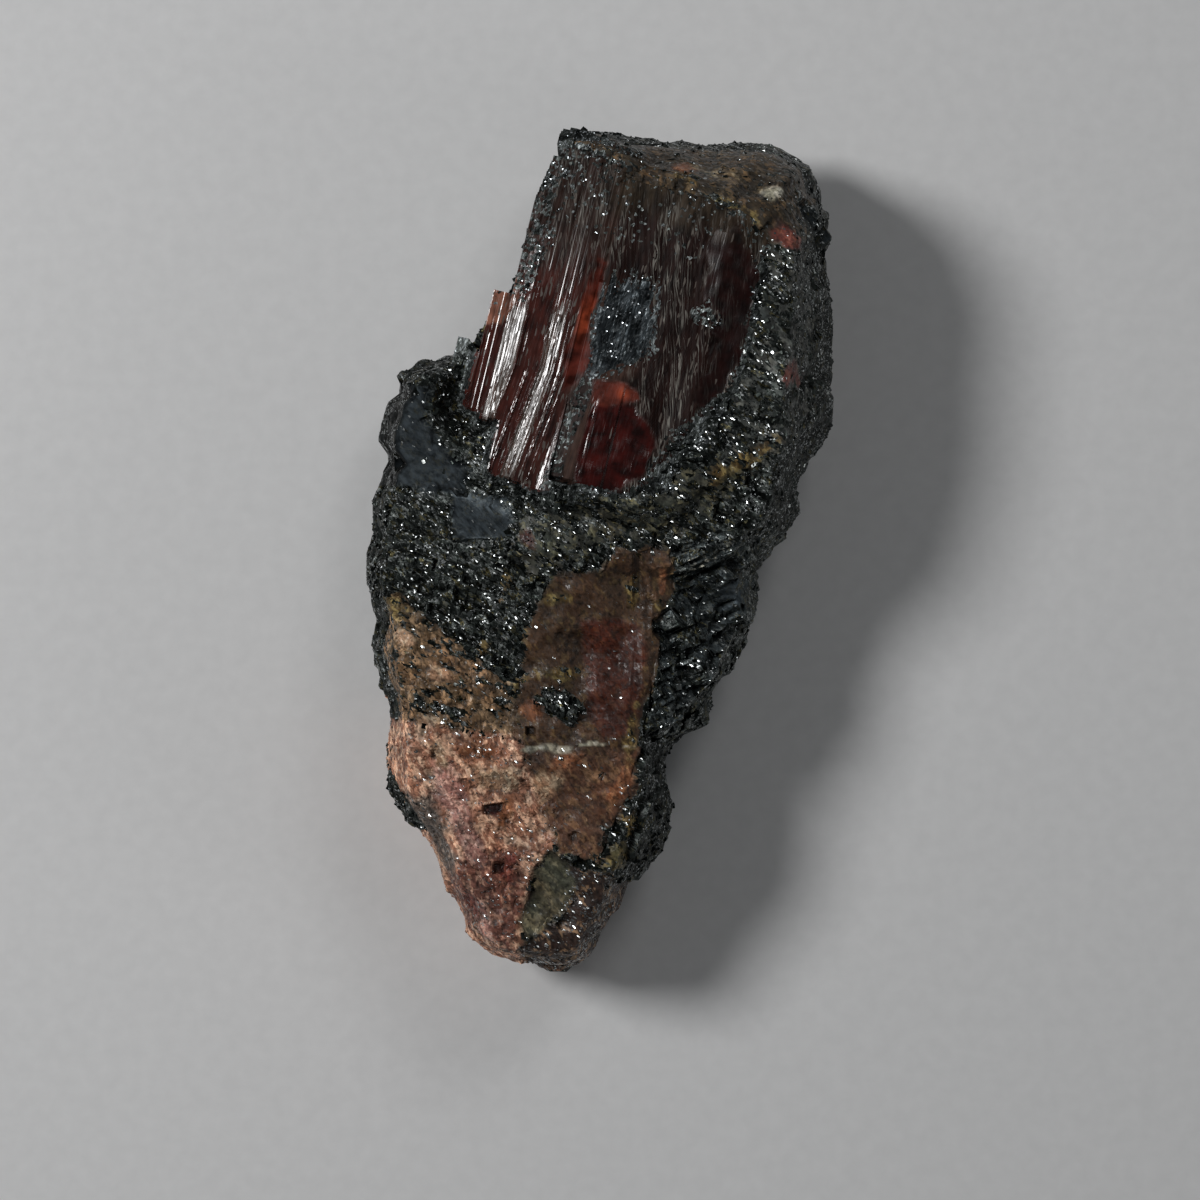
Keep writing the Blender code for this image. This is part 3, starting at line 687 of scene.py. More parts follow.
def crystal_finish():
    finish = Finish("furrowed_rhodonite")
    place = finish.place()
    turn = (0.0, 0.0, math.radians(COLUMN_LEAN))
    upright = finish.add("ShaderNodeMapping", {"Vector": place, "Rotation": turn}).outputs[0]
    drawn = finish.add("ShaderNodeMapping", {"Vector": upright, "Scale": ALONG_COLUMNS}).outputs[0]
    _, random = finish.grains(drawn, COLUMN_GRAIN_MM)
    cell, coat_random = finish.grains(place, COAT_GRAIN_MM)
    clean, patch, polish = (finish.attribute(name) for name in ("clean", "patch", "polish"))
    is_frost = finish.maths("LESS_THAN", random[0], finish.attribute("frosted"))
    is_metal = finish.maths("LESS_THAN", coat_random[0], finish.attribute("coat"))
    shaded = finish.maths("ADD", finish.noise(drawn, 0.5, 4.0), finish.noise(place, 2.5, 3.0))
    shaded = finish.spread(shaded, 0.75, 1.25, 0.35, 1.65)
    inner = finish.cloudy(place, 1.6, 4.0, 0.33, 0.67, 0.3, 1.9)
    shaded = finish.mixed_value(clean, shaded, inner)
    body = finish.scaled(finish.attribute("body", "Color"), shaded)
    colour = finish.mixed(is_frost, body, opaque(92, 84, 78))

    # Fine pale fibres lie over the broad face on the right, a little wavy.
    wavy = finish.wavering(place, 220.0, 2.0, 0.0012)
    thread = finish.add("ShaderNodeMapping", {"Vector": wavy, "Scale": ALONG_FIBRES}).outputs[0]
    fibre = finish.maths("MAXIMUM", finish.strokes(thread, 0.6, 0.02), finish.strokes(thread, 0.35, 0.018))
    fibre = finish.times(fibre, finish.attribute("hairy"))
    fibre = finish.times(fibre, finish.cloudy(drawn, 1.1, 4.0, 0.45, 0.63, 0.0, 0.8))
    colour = finish.mixed(fibre, colour, opaque(150, 146, 138))

    normal = finish.normal()
    facing = finish.tipped(normal, cell, finish.times(is_metal, finish.mixed_value(patch, 0.6, 0.1)))
    glint_share = finish.times(is_metal, finish.mixed_value(patch, 0.06, 0.02))
    is_glint, facing = finish.glints(place, facing, glint_share)
    metal = finish.mixed(patch, opaque(70, 74, 72), opaque(54, 59, 62))
    metal = finish.scaled(metal, finish.cloudy(drawn, 0.5, 3.0, 0.35, 0.65, 0.75, 1.25))
    streak = finish.strokes(finish.along(place, 55, 3.0), 0.5, 0.04)
    streak = finish.times(streak, finish.mixed_value(patch, 0.5, 0.25))
    metal = finish.mixed(streak, metal, opaque(150, 156, 158))
    metal = finish.scaled(metal, finish.cloudy(place, 2.6, 4.0, 0.36, 0.64, 0.25, 1.75))
    colour = finish.mixed(is_metal, colour, metal)
    colour = finish.mixed(is_glint, colour, opaque(180, 186, 190))
    smooth = finish.mixed_value(is_frost, finish.spread(random[1], 0.0, 1.0, 0.12, 0.3),
                                finish.spread(random[2], 0.0, 1.0, 0.25, 0.5))
    rough = finish.mixed_value(polish, 0.55, smooth)
    rough = finish.mixed_value(is_metal, rough, finish.spread(coat_random[1], 0.0, 1.0, 0.4, 0.7))
    rough = finish.mixed_value(is_glint, rough, 0.3)
    bump = finish.bump(facing, finish.noise(drawn, 0.14, 3.0), 0.2, 0.00006)
    gloss = finish.spread(finish.maths("MULTIPLY_ADD", clean, -0.4, polish), 0.0, 1.0, 0.05, 0.5)
    finish.set(Base_Color=colour, Metallic=is_metal, Roughness=rough, Normal=bump, IOR=1.73,
               Specular_IOR_Level=gloss)
    return finish.material


crystal.data.materials.append(crystal_finish())
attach(crystal, "root")
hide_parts("rhodonite_crystal")

# ------------------------------------------------------------------------------------
# The rock. The real one is a lump of galena, silvery black lead ore that breaks in
# small cubic steps, grown through with granular pink and brown rhodonite at its foot
# and crusted brown on its top end. It is one stone, broken on all sides.
# ------------------------------------------------------------------------------------

ROCK_VOXEL_MM = 0.62  # the size of the squares that the solid is first cut into
FRONT_FACING = 0.24  # faces that look up more than this get the finer mesh


def facings(piece):
    return read(piece.data.vertex_normals, "vector", 3)


def turned(x, y, degrees):
    c, s = math.cos(math.radians(degrees)), math.sin(math.radians(degrees))
    return x * c + y * s, y * c - x * s


def faces_of(piece):
    """The middle, facing and area of each face."""
    faces = piece.data.polygons
    return read(faces, "center", 3) / MM, read(faces, "normal", 3), read(faces, "area", 1)[:, 0]


rock = copy_of_node("galena_matrix", "rock")
evened = rock.modifiers.new("evened", "REMESH")
evened.mode = "VOXEL"
evened.voxel_size = ROCK_VOXEL_MM * MM
bpy.ops.object.modifier_apply(modifier=evened.name)

bpy.ops.object.mode_set(mode="EDIT")
bpy.ops.mesh.select_all(action="DESELECT")
bpy.ops.object.mode_set(mode="OBJECT")
for face in rock.data.polygons:
    face.select = face.normal.z > FRONT_FACING
bpy.ops.object.mode_set(mode="EDIT")
bpy.ops.mesh.select_mode(type="FACE")
bpy.ops.mesh.subdivide(number_cuts=1, smoothness=0.0)
bpy.ops.mesh.select_all(action="SELECT")
bpy.ops.mesh.quads_convert_to_tris(quad_method="BEAUTY", ngon_method="BEAUTY")
bpy.ops.object.mode_set(mode="OBJECT")

# Where each kind of stone shows: its outline on the front, in millimetres, how ragged
# its rim is, and how deep it goes.
THROUGH = 60.0
FIELDS = {
    "foot": ([(-26, -19), (-20, -20.5), (-14, -21.2), (-10, -21.5), (-8.3, -26), (-5.4, -29.5),
              (-5.5, -34.5), (-8.5, -39), (-9, -46), (-4, -52), (-20, -52), (-27, -30)], 1.2, THROUGH),
    "smooth_foot": ([(-8.5, -24), (4.5, -23.4), (4.4, -28), (1.2, -31), (0.2, -36.5), (-4.5, -35.5),
                     (-6.5, -31)], 1.4, THROUGH),
    "red_foot": ([(-15.7, -34.2), (-8.4, -35.3), (-9.1, -41.6), (-10.6, -47.8), (-15.7, -44.5),
                  (-18.3, -39)], 1.4, THROUGH),
    "dirty_margin": ([(-23, -28.6), (-20.4, -28.2), (-18.2, -31), (-16.8, -36), (-18, -39),
                      (-23, -37)], 1.6, 10.0),
    "dark_foot": ([(-4, -36.8), (1.2, -38), (3.8, -39.8), (3, -46), (-1, -52), (-10.2, -52),
                   (-9.4, -46.5), (-4.7, -43), (-3.6, -40)], 0.6, THROUGH),
    "olive_foot": ([(-7.6, -37.2), (-5.8, -35.2), (-4, -36.4), (-2.5, -38.7), (-4, -42), (-7.6, -45.3),
                    (-9.1, -46), (-9.5, -43.4), (-7.6, -39.8)], 0.6, 9.0),
    "olive_toe": ([(1, -34.2), (3.4, -34.5), (3, -37.6), (0.6, -37.8)], 0.6, 9.0),
    "band": ([(-27, -8), (-24, -4.5), (-20.5, -7.5), (-16, -11.6), (-11.5, -14.5), (-9.2, -18),
              (-9.6, -22), (-14, -21.4), (-20, -20.6), (-26, -19.5)], 1.0, 8.0),
    "brown": ([(-5.4, -3), (-0.1, -2.3), (1.9, 0.4), (8.3, 0.2), (8.8, -4.8), (6.2, -8.8), (7.4, -10.7),
               (6.3, -16.1), (4.7, -20), (4.6, -24), (-8.5, -24.3), (-10.2, -21), (-9.8, -17),
               (-8.7, -13), (-8.5, -9.2), (-7, -6)], 0.7, 9.0),
    "brown_heart": ([(-2.6, -8), (4.6, -8.4), (5.4, -11), (5, -16), (4, -20.6), (0.5, -22), (-1.4, -19),
                     (-1.8, -12)], 0.8, 4.0),
    "belt": ([(-9.5, 5), (-4, 4.6), (4, 7.5), (12, 10), (19.5, 14.5), (20.5, 11), (13, 4.5), (9, 1.5),
              (1.5, 1.2), (-3, -1), (-8, -3.5), (-10, 0)], 1.6, 4.0),
    "rim_coat": ([(13.5, 9.5), (16.5, 18), (17, 27), (15, 35), (19, 38), (25, 35.5), (26.5, 26),
                  (24.5, 15), (19.5, 10)], 1.4, 4.0),
    "slate": ([(-26.5, 20.5), (-19.9, 19.4), (-20.5, 16.1), (-18.8, 12.4), (-15.5, 9.5), (-15.9, 6.9),
               (-21, 6.9), (-26.4, 8.5), (-29, 13.5)], 0.7, 19.0),
    "slab": ([(-17.3, 6.6), (-10, 6.4), (-10.7, 1.5), (-17.3, 1.3)], 0.15, 16.0),
    "ledges": ([(5.5, -2), (10, 1), (16, 3), (24, 2), (20, -22), (13, -24), (6, -21), (6.5, -12)],
               0.8, THROUGH),
    "left_edge": ([(-27, -11.2), (-25.3, -13.5), (-24.6, -20.7), (-24.6, -25.1), (-23.4, -28.2),
                   (-22, -30.7), (-20.3, -32.6), (-22, -37), (-32, -32), (-32, -11)], 0.5, THROUGH),
    "crust": ([(-7.5, 53), (-8, 44.5), (-4, 45.5), (1, 43.5), (7, 39.8), (13, 36.4), (19, 35.6),
               (24.6, 36.6), (27, 44), (24, 52)], 1.0, 9.0),
}

# Small oval patches of stone: middle, half length and width, turn in degrees, and depth.
PATCHES = {
    "galena": [
        (2.3, 46.8, 2.0, 0.7, 0, 1.5), (26.2, 36.8, 2.0, 1.9, 0, 3.0), (24.4, 39.6, 1.9, 1.6, 0, 2.0),
        (-4.2, -18.0, 3.8, 2.1, -20, 2.5), (-18.0, -18.5, 2.8, 0.7, -15, 1.2),
        (7.0, -29.8, 8.0, 3.0, 84, 12.0), (0.4, -26.3, 0.8, 0.6, 0, 1.0),
    ],
    "gold": [
        (-24.0, -6.6, 2.0, 1.5, 0, 2.0), (-11.0, -3.4, 0.9, 0.6, 80, 0.8), (-11.6, -5.8, 0.7, 0.6, 0, 0.8),
        (-13.6, -11.2, 0.9, 0.7, 0, 0.8), (16.5, 10.3, 5.0, 1.1, 28, 1.2), (-4.8, -14.4, 3.8, 0.8, 4, 1.0),
        (3.9, -4.8, 1.9, 0.8, 80, 1.5), (7.0, -6.4, 1.2, 0.8, 85, 1.5), (3.6, -22.0, 3.8, 0.8, 84, 1.5),
        (-9.0, -12.0, 5.0, 0.45, 80, 1.0), (-5.0, -5.4, 1.8, 0.9, 0, 1.0), (10.5, 43.4, 2.0, 0.6, -15, 1.5),
        (16.4, 39.4, 2.8, 0.8, -30, 1.5), (-4.6, 50.0, 2.0, 0.8, 30, 1.5), (3.9, -32.4, 2.0, 1.2, 70, 1.5),
    ],
    "rust": [
        (10.0, 44.6, 2.6, 0.8, -27, 1.2), (7.4, -3.4, 1.2, 0.4, 85, 3.0), (-15.6, -23.4, 3.6, 1.4, -8, 1.5),
        (2.4, -27.4, 2.6, 1.3, 60, 2.0), (-11.2, -31.0, 2.2, 0.9, 75, 1.5), (-3.4, -24.4, 2.0, 1.0, 20, 1.5),
        (-8.0, -18.6, 1.6, 1.0, 0, 1.5),
    ],
    "red": [
        (21.8, 36.4, 2.7, 1.4, -32, 1.5), (22.4, 20.6, 1.5, 1.25, 100, 3.0),
        (-10.8, -37.4, 2.0, 0.8, 78, 1.5), (-15.0, -41.5, 1.6, 0.7, 110, 1.5),
    ],
    "beige": [(14.2, 43.9, 3.4, 1.1, -13, 1.8), (19.4, 41.9, 2.6, 0.7, -20, 1.5)],
    "garnet": [(-8.2, 1.4, 0.9, 1.0, 20, 1.0), (-12.5, -30.3, 1.3, 0.6, 8, 1.5)],
    "purple": [(-17.4, -28.6, 5.5, 1.8, 110, 2.5), (-15.4, -34.0, 3.2, 1.3, 110, 2.5),
               (-13.6, -44.0, 2.4, 1.0, 100, 2.0)],
    "cream": [
        (-19.0, -23.2, 3.4, 1.2, -70, 1.2), (-12.0, -26.6, 3.2, 1.8, -20, 1.2),
        (-22.6, -10.2, 1.3, 0.8, -40, 1.2), (-18.8, -14.2, 1.8, 1.0, -38, 1.2),
        (-6.6, -27.4, 2.6, 1.6, 40, 1.2), (9.8, 41.5, 2.4, 1.4, 0, 1.5),
    ],
    "quartz": [
        (20.2, 42.0, 1.8, 1.1, 0, 1.5), (-6.9, -23.0, 1.7, 0.4, 9, 1.0), (-4.3, -23.2, 1.9, 0.55, -3, 1.0),
        (-1.6, -22.6, 1.8, 0.22, 12, 0.8), (2.6, -22.8, 3.6, 0.13, -2, 0.8),
    ],
    "frost": [(11.6, -1.8, 3.6, 1.1, 38, 1.5), (14.6, 0.2, 1.8, 0.8, 20, 1.2),
              (14.4, -12.2, 2.2, 0.6, 40, 1.2)],
    "sheen": [
        (24.4, 39.6, 1.9, 1.6, 0, 2.0), (26.2, 36.8, 2.0, 1.9, 0, 3.0),
        (16.5, -4.5, 4.6, 1.7, 40, 3.0),
    ],
}
FRONT_MM = 27.0  # about the height of the rock's front, from which depth is counted
WANDER_BELOW_MM = 17.0  # lower down the borders between the stones wander
WANDER, WANDER_SIZE_MM = 0.65, 9.0  # for each millimetre further down, and in bends of this size
MASSIVE = ("foot", "smooth_foot", "dark_foot", "band", "brown", "olive_foot", "red_foot")
patch_fronts = {}
for name, patches in PATCHES.items():
    fronts = front_heights(trees["galena_matrix"], *np.array(patches)[:, :2].T)
    patch_fronts[name] = np.nan_to_num(fronts, nan=FRONT_MM)


def field_share(points, outline, ragged, depth, soft):
    """The share of this stone at each point, with a ragged rim."""
    inside = outline_distance(points[:, 0], points[:, 1], outline) + ragged
    deep = smooth_step(depth * 1.15, depth * 0.85, FRONT_MM - points[:, 2] + ragged)
    return smooth_step(-soft, soft, inside) * deep


def patch_share(points, patches, fronts, ragged):
    """The same for small oval patches."""
    share = np.zeros(len(points))
    for (x, y, half_length, half_width, turn, depth), front in zip(patches, fronts):
        near = np.hypot(points[:, 0] - x, points[:, 1] - y) < 1.6 * half_length + 1
        along, across = turned(points[near, 0] - x, points[near, 1] - y, turn)
        below = (front - points[near, 2]) / (2 * depth)
        far = np.sqrt((along / half_length) ** 2 + (across / half_width) ** 2 + below**2)
        far = far + ragged[near] * min(1.1, 1.2 / half_width)
        share[near] = np.maximum(share[near], 1 - smooth_step(0.6, 1.15, far))
    return share


def stones_at(points):
    """The share of every kind of stone at each point; deep down its borders wander."""
    stone = {}
    deep = np.maximum(0, WANDER_BELOW_MM - points[:, 2])
    drift = np.stack([cloud(points, WANDER_SIZE_MM, seed, 2) for seed in (61, 63)], axis=1)
    points = points.copy()
    points[:, :2] += WANDER * deep[:, None] * drift
    ragged = [cloud(points, size, 40 + number, 4) for number, size in enumerate((2.4, 1.8, 1.5))]
    for number, (name, (outline, rim, depth)) in enumerate(FIELDS.items()):
        stone[name] = field_share(points, outline, rim * ragged[number % 3], depth, 0.15 + 0.4 * rim)
    for number, (name, patches) in enumerate(PATCHES.items()):
        stone[name] = patch_share(points, patches, patch_fronts[name], ragged[1 + number % 2])
    stone["galena"] = np.maximum(stone["galena"], stone["left_edge"])
    stone["stony"] = np.maximum.reduce([stone[name] for name in MASSIVE]) * (1 - stone["galena"])
    stone["belt"] = np.maximum(stone["belt"], stone["rim_coat"])
    ledge_flats = 0.5 * stone["ledges"] * smooth_step(-0.5, 0.1, ragged[0])
    flats = [stone["sheen"], stone["slate"], stone["slab"], ledge_flats]
    stone["sheen"] = np.maximum.reduce(flats) * (1 - stone["stony"])
    return stone


def plane_positions(gaps, seed):
    """Where the cleavage planes lie along one direction, at uneven distances."""
    chance = np.random.default_rng(seed)
    reach = 70.0
    steps = chance.uniform(*gaps, int(2.2 * reach / gaps[0]))
    return np.cumsum(steps) - reach


# Kinds of cleavage steps: how their three square directions are turned in degrees, the
# least and greatest distance between their planes along each, and their random seed.
ORE_STEPS = ((-14, 22, 12), ((0.8, 2.6), (0.7, 2.2), (0.7, 1.8)), 5)
LEDGE_STEPS = ((18, 22, -12), ((3.0, 7.0), (1.2, 3.0), (0.8, 2.2)), 6)
FLAT_STEPS = ((38, -14, 8), ((3.0, 8.0), (3.0, 8.0), (1.2, 3.0)), 7)
STONE_STEPS = ((10, 5, 20), ((1.5, 4.0), (2.0, 5.0), (0.8, 2.0)), 8)


def cleave(points, kind, strength):
    """Breaks the surface in steps along three square directions."""
    turns, gaps, seed = kind
    axes = np.eye(3)
    for angle, (i, j) in zip(turns, ((0, 1), (0, 2), (1, 2))):
        spin = np.eye(3)
        spin[i, i] = spin[j, j] = math.cos(math.radians(angle))
        spin[i, j], spin[j, i] = -math.sin(math.radians(angle)), math.sin(math.radians(angle))
        axes = spin @ axes
    inside = points @ axes
    bend = np.stack([cloud(points, 6.0, seed + k) for k in range(3)], axis=1)
    bent = inside + 0.5 * bend
    moved = inside.copy()
    for k in range(3):
        planes = plane_positions(gaps[k], seed + 10 + k)
        above = np.clip(np.searchsorted(planes, bent[:, k]), 1, len(planes) - 1)
        middle = (planes[above] + planes[above - 1]) / 2
        moved[:, k] += strength * (middle - bent[:, k])
    return moved @ axes.T


points = corners_mm(rock)
stone = stones_at(points)
galena = 1 - np.maximum(stone["stony"], 0.7 * stone["crust"])
LEDGES_TOP_MM, LEDGES_FROM_MM, LEDGES_FALL = 26.0, 6.5, 0.5  # they fall away to the right
LEDGE_TURN = 17  # degrees from X
LEDGE_GAPS_MM = (0.9, 2.6)  # least and greatest
up_facing = smooth_step(0.2, 0.6, facings(rock)[:, 2])
ledges = stone["ledges"]
level = LEDGES_TOP_MM - LEDGES_FALL * (points[:, 0] - LEDGES_FROM_MM)
lift = np.clip(level - points[:, 2], 0, 6) * ledges * up_facing
points[:, 2] += lift * smooth_step(13, 17, points[:, 2])
rough = galena * (1 - 0.9 * np.maximum(stone["sheen"], ledges)) * (1 - 0.7 * stone["belt"])
sides = 1 - up_facing
points = cleave(points, ORE_STEPS, (0.58 - 0.22 * sides) * rough)
points = cleave(points, LEDGE_STEPS, 0.3 * ledges * galena)
points = cleave(points, FLAT_STEPS, 0.25 * stone["sheen"])
uneven = stone["stony"] * (1 - 0.7 * stone["brown"])
points = cleave(points, STONE_STEPS, 0.12 * uneven)

# The ledges overlap like shingles, each with a raised lower edge.
upward = turned(points[:, 0], points[:, 1], LEDGE_TURN)[1]
upward = upward + 0.9 * cloud(points, 5.0, 91) + 0.25 * cloud(points, 1.6, 92)
planes = plane_positions(LEDGE_GAPS_MM, 93)
above = np.clip(np.searchsorted(planes, upward), 1, len(planes) - 1)
gap = planes[above] - planes[above - 1]
past_rim = upward - planes[above - 1]
points[:, 2] += 0.6 * gap * (0.5 - past_rim / gap) * ledges * galena * up_facing
# Along each raised rim the tone gets a painted highlight.
rim_highlights = ledges * smooth_step(0.35, 0.1, past_rim) * smooth_step(-0.3, 0.3, cloud(points, 1.8, 94, 2))

# Two large cleavage faces on the left are flat.
for name in ("slate", "slab"):
    flat = (stone[name] > 0.5) & (up_facing > 0.5)
    level = np.column_stack([np.ones(flat.sum()), points[flat, :2]])
    plane = np.linalg.lstsq(level, points[flat, 2], rcond=None)[0]
    meant = plane[0] + points[:, :2] @ plane[1:]
    points[:, 2] += 0.8 * stone[name] * up_facing * np.clip(meant - points[:, 2], -1.5, 1.5)
move_corners(rock, points)

facing = facings(rock)
granular = np.maximum(stone["foot"], stone["band"]) * (1 - stone["galena"])
relief = 0.16 * cloud(points, 2.6, 15, 2) * stone["stony"]
relief += 0.1 * cloud(points, 1.1, 11, 2) * (0.4 + stone["stony"])
relief += 0.7 * sides * galena * cloud(points, 3.2, 17, 4)
relief -= 0.5 * np.maximum(stone["olive_foot"], stone["dark_foot"])
relief -= granular * (0.5 * np.maximum(0, 0.3 - np.abs(cloud(points, 1.3, 12)))
                      + 0.4 * np.maximum(0, 0.3 - np.abs(cloud(points, 0.7, 13))))
points = points + relief[:, None] * facing

# Pits and cracks: middle, half length and width, turn in degrees, and depth.
PITS = [(-12.4, -30.2, 1.3, 0.62, 8, 0.7), (-8.0, -21.1, 0.6, 0.5, 0, 0.7),
        (-11.8, -37.2, 0.8, 0.7, 0, 0.8), (-16.0, -27.0, 0.5, 0.4, 0, 0.5),
        (-19.5, -24.0, 0.4, 0.6, 0, 0.5), (-3.0, -33.4, 0.6, 0.4, 20, 0.4),
        (4.4, -3.6, 0.5, 3.4, 2, 0.3), (4.3, -14.0, 0.5, 4.2, -3, 0.12)]
for x, y, half_x, half_y, turn, depth in PITS:
    along, across = turned(points[:, 0] - x, points[:, 1] - y, turn)
    inside = 1 - smooth_step(0.7, 1.1, np.maximum(np.abs(along) / half_x, np.abs(across) / half_y))
    points[:, 2] -= depth * inside * (facing[:, 2] > 0.2)

# Beside the crystal the rock comes up, or down, to the crystal's rim.
move_corners(rock, points)
facing = facings(rock)
far, rim_height = from_rim(points[:, 0], points[:, 1])
step = rim_height - rock_drop(points[:, 0], points[:, 1]) - points[:, 2]
raised = smooth_step(0.0, 0.25, facing[:, 2]) * smooth_step(11.0, 9.0, step)
raised = np.maximum(raised, smooth_step(2.4, 1.4, far) * smooth_step(5.5, 4.0, step))
drawn_in = np.where(step > 0, smooth_step(4.5, 1.3, far) * raised, smooth_step(6.0, 0.8, far))
points[:, 2] += drawn_in * step

low, high = (np.array(corner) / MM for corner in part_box("galena_matrix"))
points = np.clip(points, low, high)
move_corners(rock, points)


def hollows(piece, rounds):
    """How deep each corner lies below the evened-out surface, in millimetres."""
    points, facing = corners_mm(piece), facings(piece)
    ends = np.empty(len(piece.data.edges) * 2, np.int32)
    piece.data.edges.foreach_get("vertices", ends)
    first, second = ends.reshape(-1, 2).T
    count = len(points)
    neighbours = np.bincount(ends, minlength=count)[:, None]
    even = points
    for _ in range(rounds):
        sums = [np.bincount(first, even[second, k], count) + np.bincount(second, even[first, k], count)
                for k in range(3)]
        even = np.stack(sums, axis=1) / neighbours
    return ((even - points) * facing).sum(axis=1)


# Each stone: its ground colour, the colour of its flecks, the share of its grains that
# are such flecks, and the share that is galena.
STONES = {
    "belt": ((64, 65, 56), (104, 100, 78), 0.30, 0.55),
    "rim_coat": ((66, 68, 64), (100, 102, 96), 0.30, 0.62),
    "crust": ((56, 46, 33), (98, 78, 54), 0.28, 0.30),
    "band": ((104, 82, 58), (162, 130, 98), 0.32, 0.42),
    "brown": ((72, 52, 37), (88, 68, 44), 0.20, 0.12),
    "brown_heart": ((74, 36, 24), (82, 46, 30), 0.20, 0.0),
    "foot": ((161, 112, 88), (222, 178, 148), 0.44, 0.02),
    "smooth_foot": ((92, 63, 47), (116, 86, 62), 0.35, 0.02),
    "red_foot": ((110, 70, 58), (160, 118, 98), 0.34, 0.03),
    "dirty_margin": ((96, 84, 76), (130, 114, 102), 0.30, 0.15),
    "dark_foot": ((56, 42, 36), (146, 118, 92), 0.24, 0.15),
    "olive_foot": ((86, 83, 66), (122, 114, 90), 0.30, 0.02),
    "olive_toe": ((84, 78, 54), (120, 104, 66), 0.25, 0.15),
    "gold": ((88, 70, 38), (142, 122, 76), 0.30, 0.40),
    "rust": ((124, 78, 52), (150, 104, 74), 0.35, 0.0),
    "red": ((106, 54, 46), (130, 76, 62), 0.35, 0.0),
    "beige": ((104, 86, 62), (150, 132, 104), 0.38, 0.05),
    "garnet": ((56, 26, 22), (76, 42, 36), 0.25, 0.05),
    "purple": ((164, 118, 107), (204, 162, 146), 0.44, 0.02),
    "frost": ((104, 104, 95), (186, 186, 174), 0.30, 0.55),
    "cream": ((166, 130, 102), (200, 172, 142), 0.45, 0.02),
    "quartz": ((160, 154, 134), (190, 184, 168), 0.40, 0.0),
}
ORE, ORE_FLECKS, ORE_FLECKED = shade(58, 58, 50), shade(84, 80, 64), 0.3
ORE_GRAIN_TURN, ORE_GRAIN_MM = -35, 0.42  # degrees from X in which the grains lie long
GRAIN_TURN, GRAIN_MM = -58, 0.2  # and the same for those of the rhodonite
GRAIN_DRAWN_OUT = 2.4
MOST_METAL = 0.92
SPARKLE = {"foot": 0.02, "dark_foot": 0.1, "belt": 0.01}  # the share of glints in each stone


def painted_stone(piece, points, tone, level):
    """Paints a piece with the stone at each of its points. The tone darkens or lightens
    it: on the rock it holds painted shade and highlight, on the grains each grain's own
    random tone. Smooth faces show only where it lies level."""
    stone = stones_at(points)
    stone["sheen"] = stone["sheen"] * level
    ground = np.tile(ORE, (len(points), 1))
    fleck = np.tile(ORE_FLECKS, (len(points), 1))
    flecked = np.full(len(points), ORE_FLECKED)
    metal = np.ones(len(points))
    for name, (ground_colour, fleck_colour, fleck_part, metal_part) in STONES.items():
        share = stone[name]
        ground = toned(ground, share, shade(*ground_colour))
        fleck = toned(fleck, share, shade(*fleck_colour))
        flecked = flecked + share * (fleck_part - flecked)
        metal = metal + share * (metal_part - metal)
    metal = metal + np.maximum(stone["galena"], stone["sheen"]) * (1 - metal)
    x, y = points[:, 0] / GRAIN_DRAWN_OUT, points[:, 1] / GRAIN_DRAWN_OUT
    streaky = np.column_stack([*turned(x, y, GRAIN_TURN), points[:, 2]])
    streaky[:, 1] *= GRAIN_DRAWN_OUT
    paler, redder = cloud(streaky, 1.0, 71, 3)[:, None], cloud(streaky, 1.8, 72, 3)[:, None]
    variety = (1 + 0.5 * paler) * (1 + redder * np.array((0.16, -0.02, -0.14)))
    ground, fleck = ground * variety, fleck * variety
    # The tone darkens and lightens the stone's colours: painted shade and highlight on the rock, a random
    # tone on the grains.
    paint_colour(piece, "ground", ground * tone[:, None])
    paint_colour(piece, "fleck", fleck * tone[:, None])
    paint(piece, "flecked", flecked)
    paint(piece, "metal", MOST_METAL * metal)
    paint(piece, "sheen", stone["sheen"])
    # Painted shade and light for the galena: smooth faces lose the painted shade of hollows and the slab is
    # painted lighter; the slate is painted darker, most on its steep sides; steep galena faces are painted
    # darker, and the ledges lighter.
    evened = tone + stone["sheen"] * (1 - stone["ledges"]) * (1 + 0.6 * stone["slab"] - tone)
    evened = evened * (1 - (0.75 - 0.25 * level) * stone["slate"]) * (1 - 0.3 * (1 - level) * metal)
    evened = evened * (1 + 1.05 * stone["ledges"] * (1 - stone["stony"]))
    paint(piece, "tone", evened / 2)
    paint(piece, "sparkle", sum((share * stone[name] for name, share in SPARKLE.items()), 0.004))


# Painted shade and highlight: the rock's tone is painted darker in hollows, and lighter on raised edges and
# along the ledges' rims.
hollow = hollows(rock, 6)
tone = np.clip(1.0 - 3.0 * hollow, 0.25, 1.8) + 1.7 * rim_highlights
painted_stone(rock, points, tone, smooth_step(0.35, 0.65, facings(rock)[:, 2]))


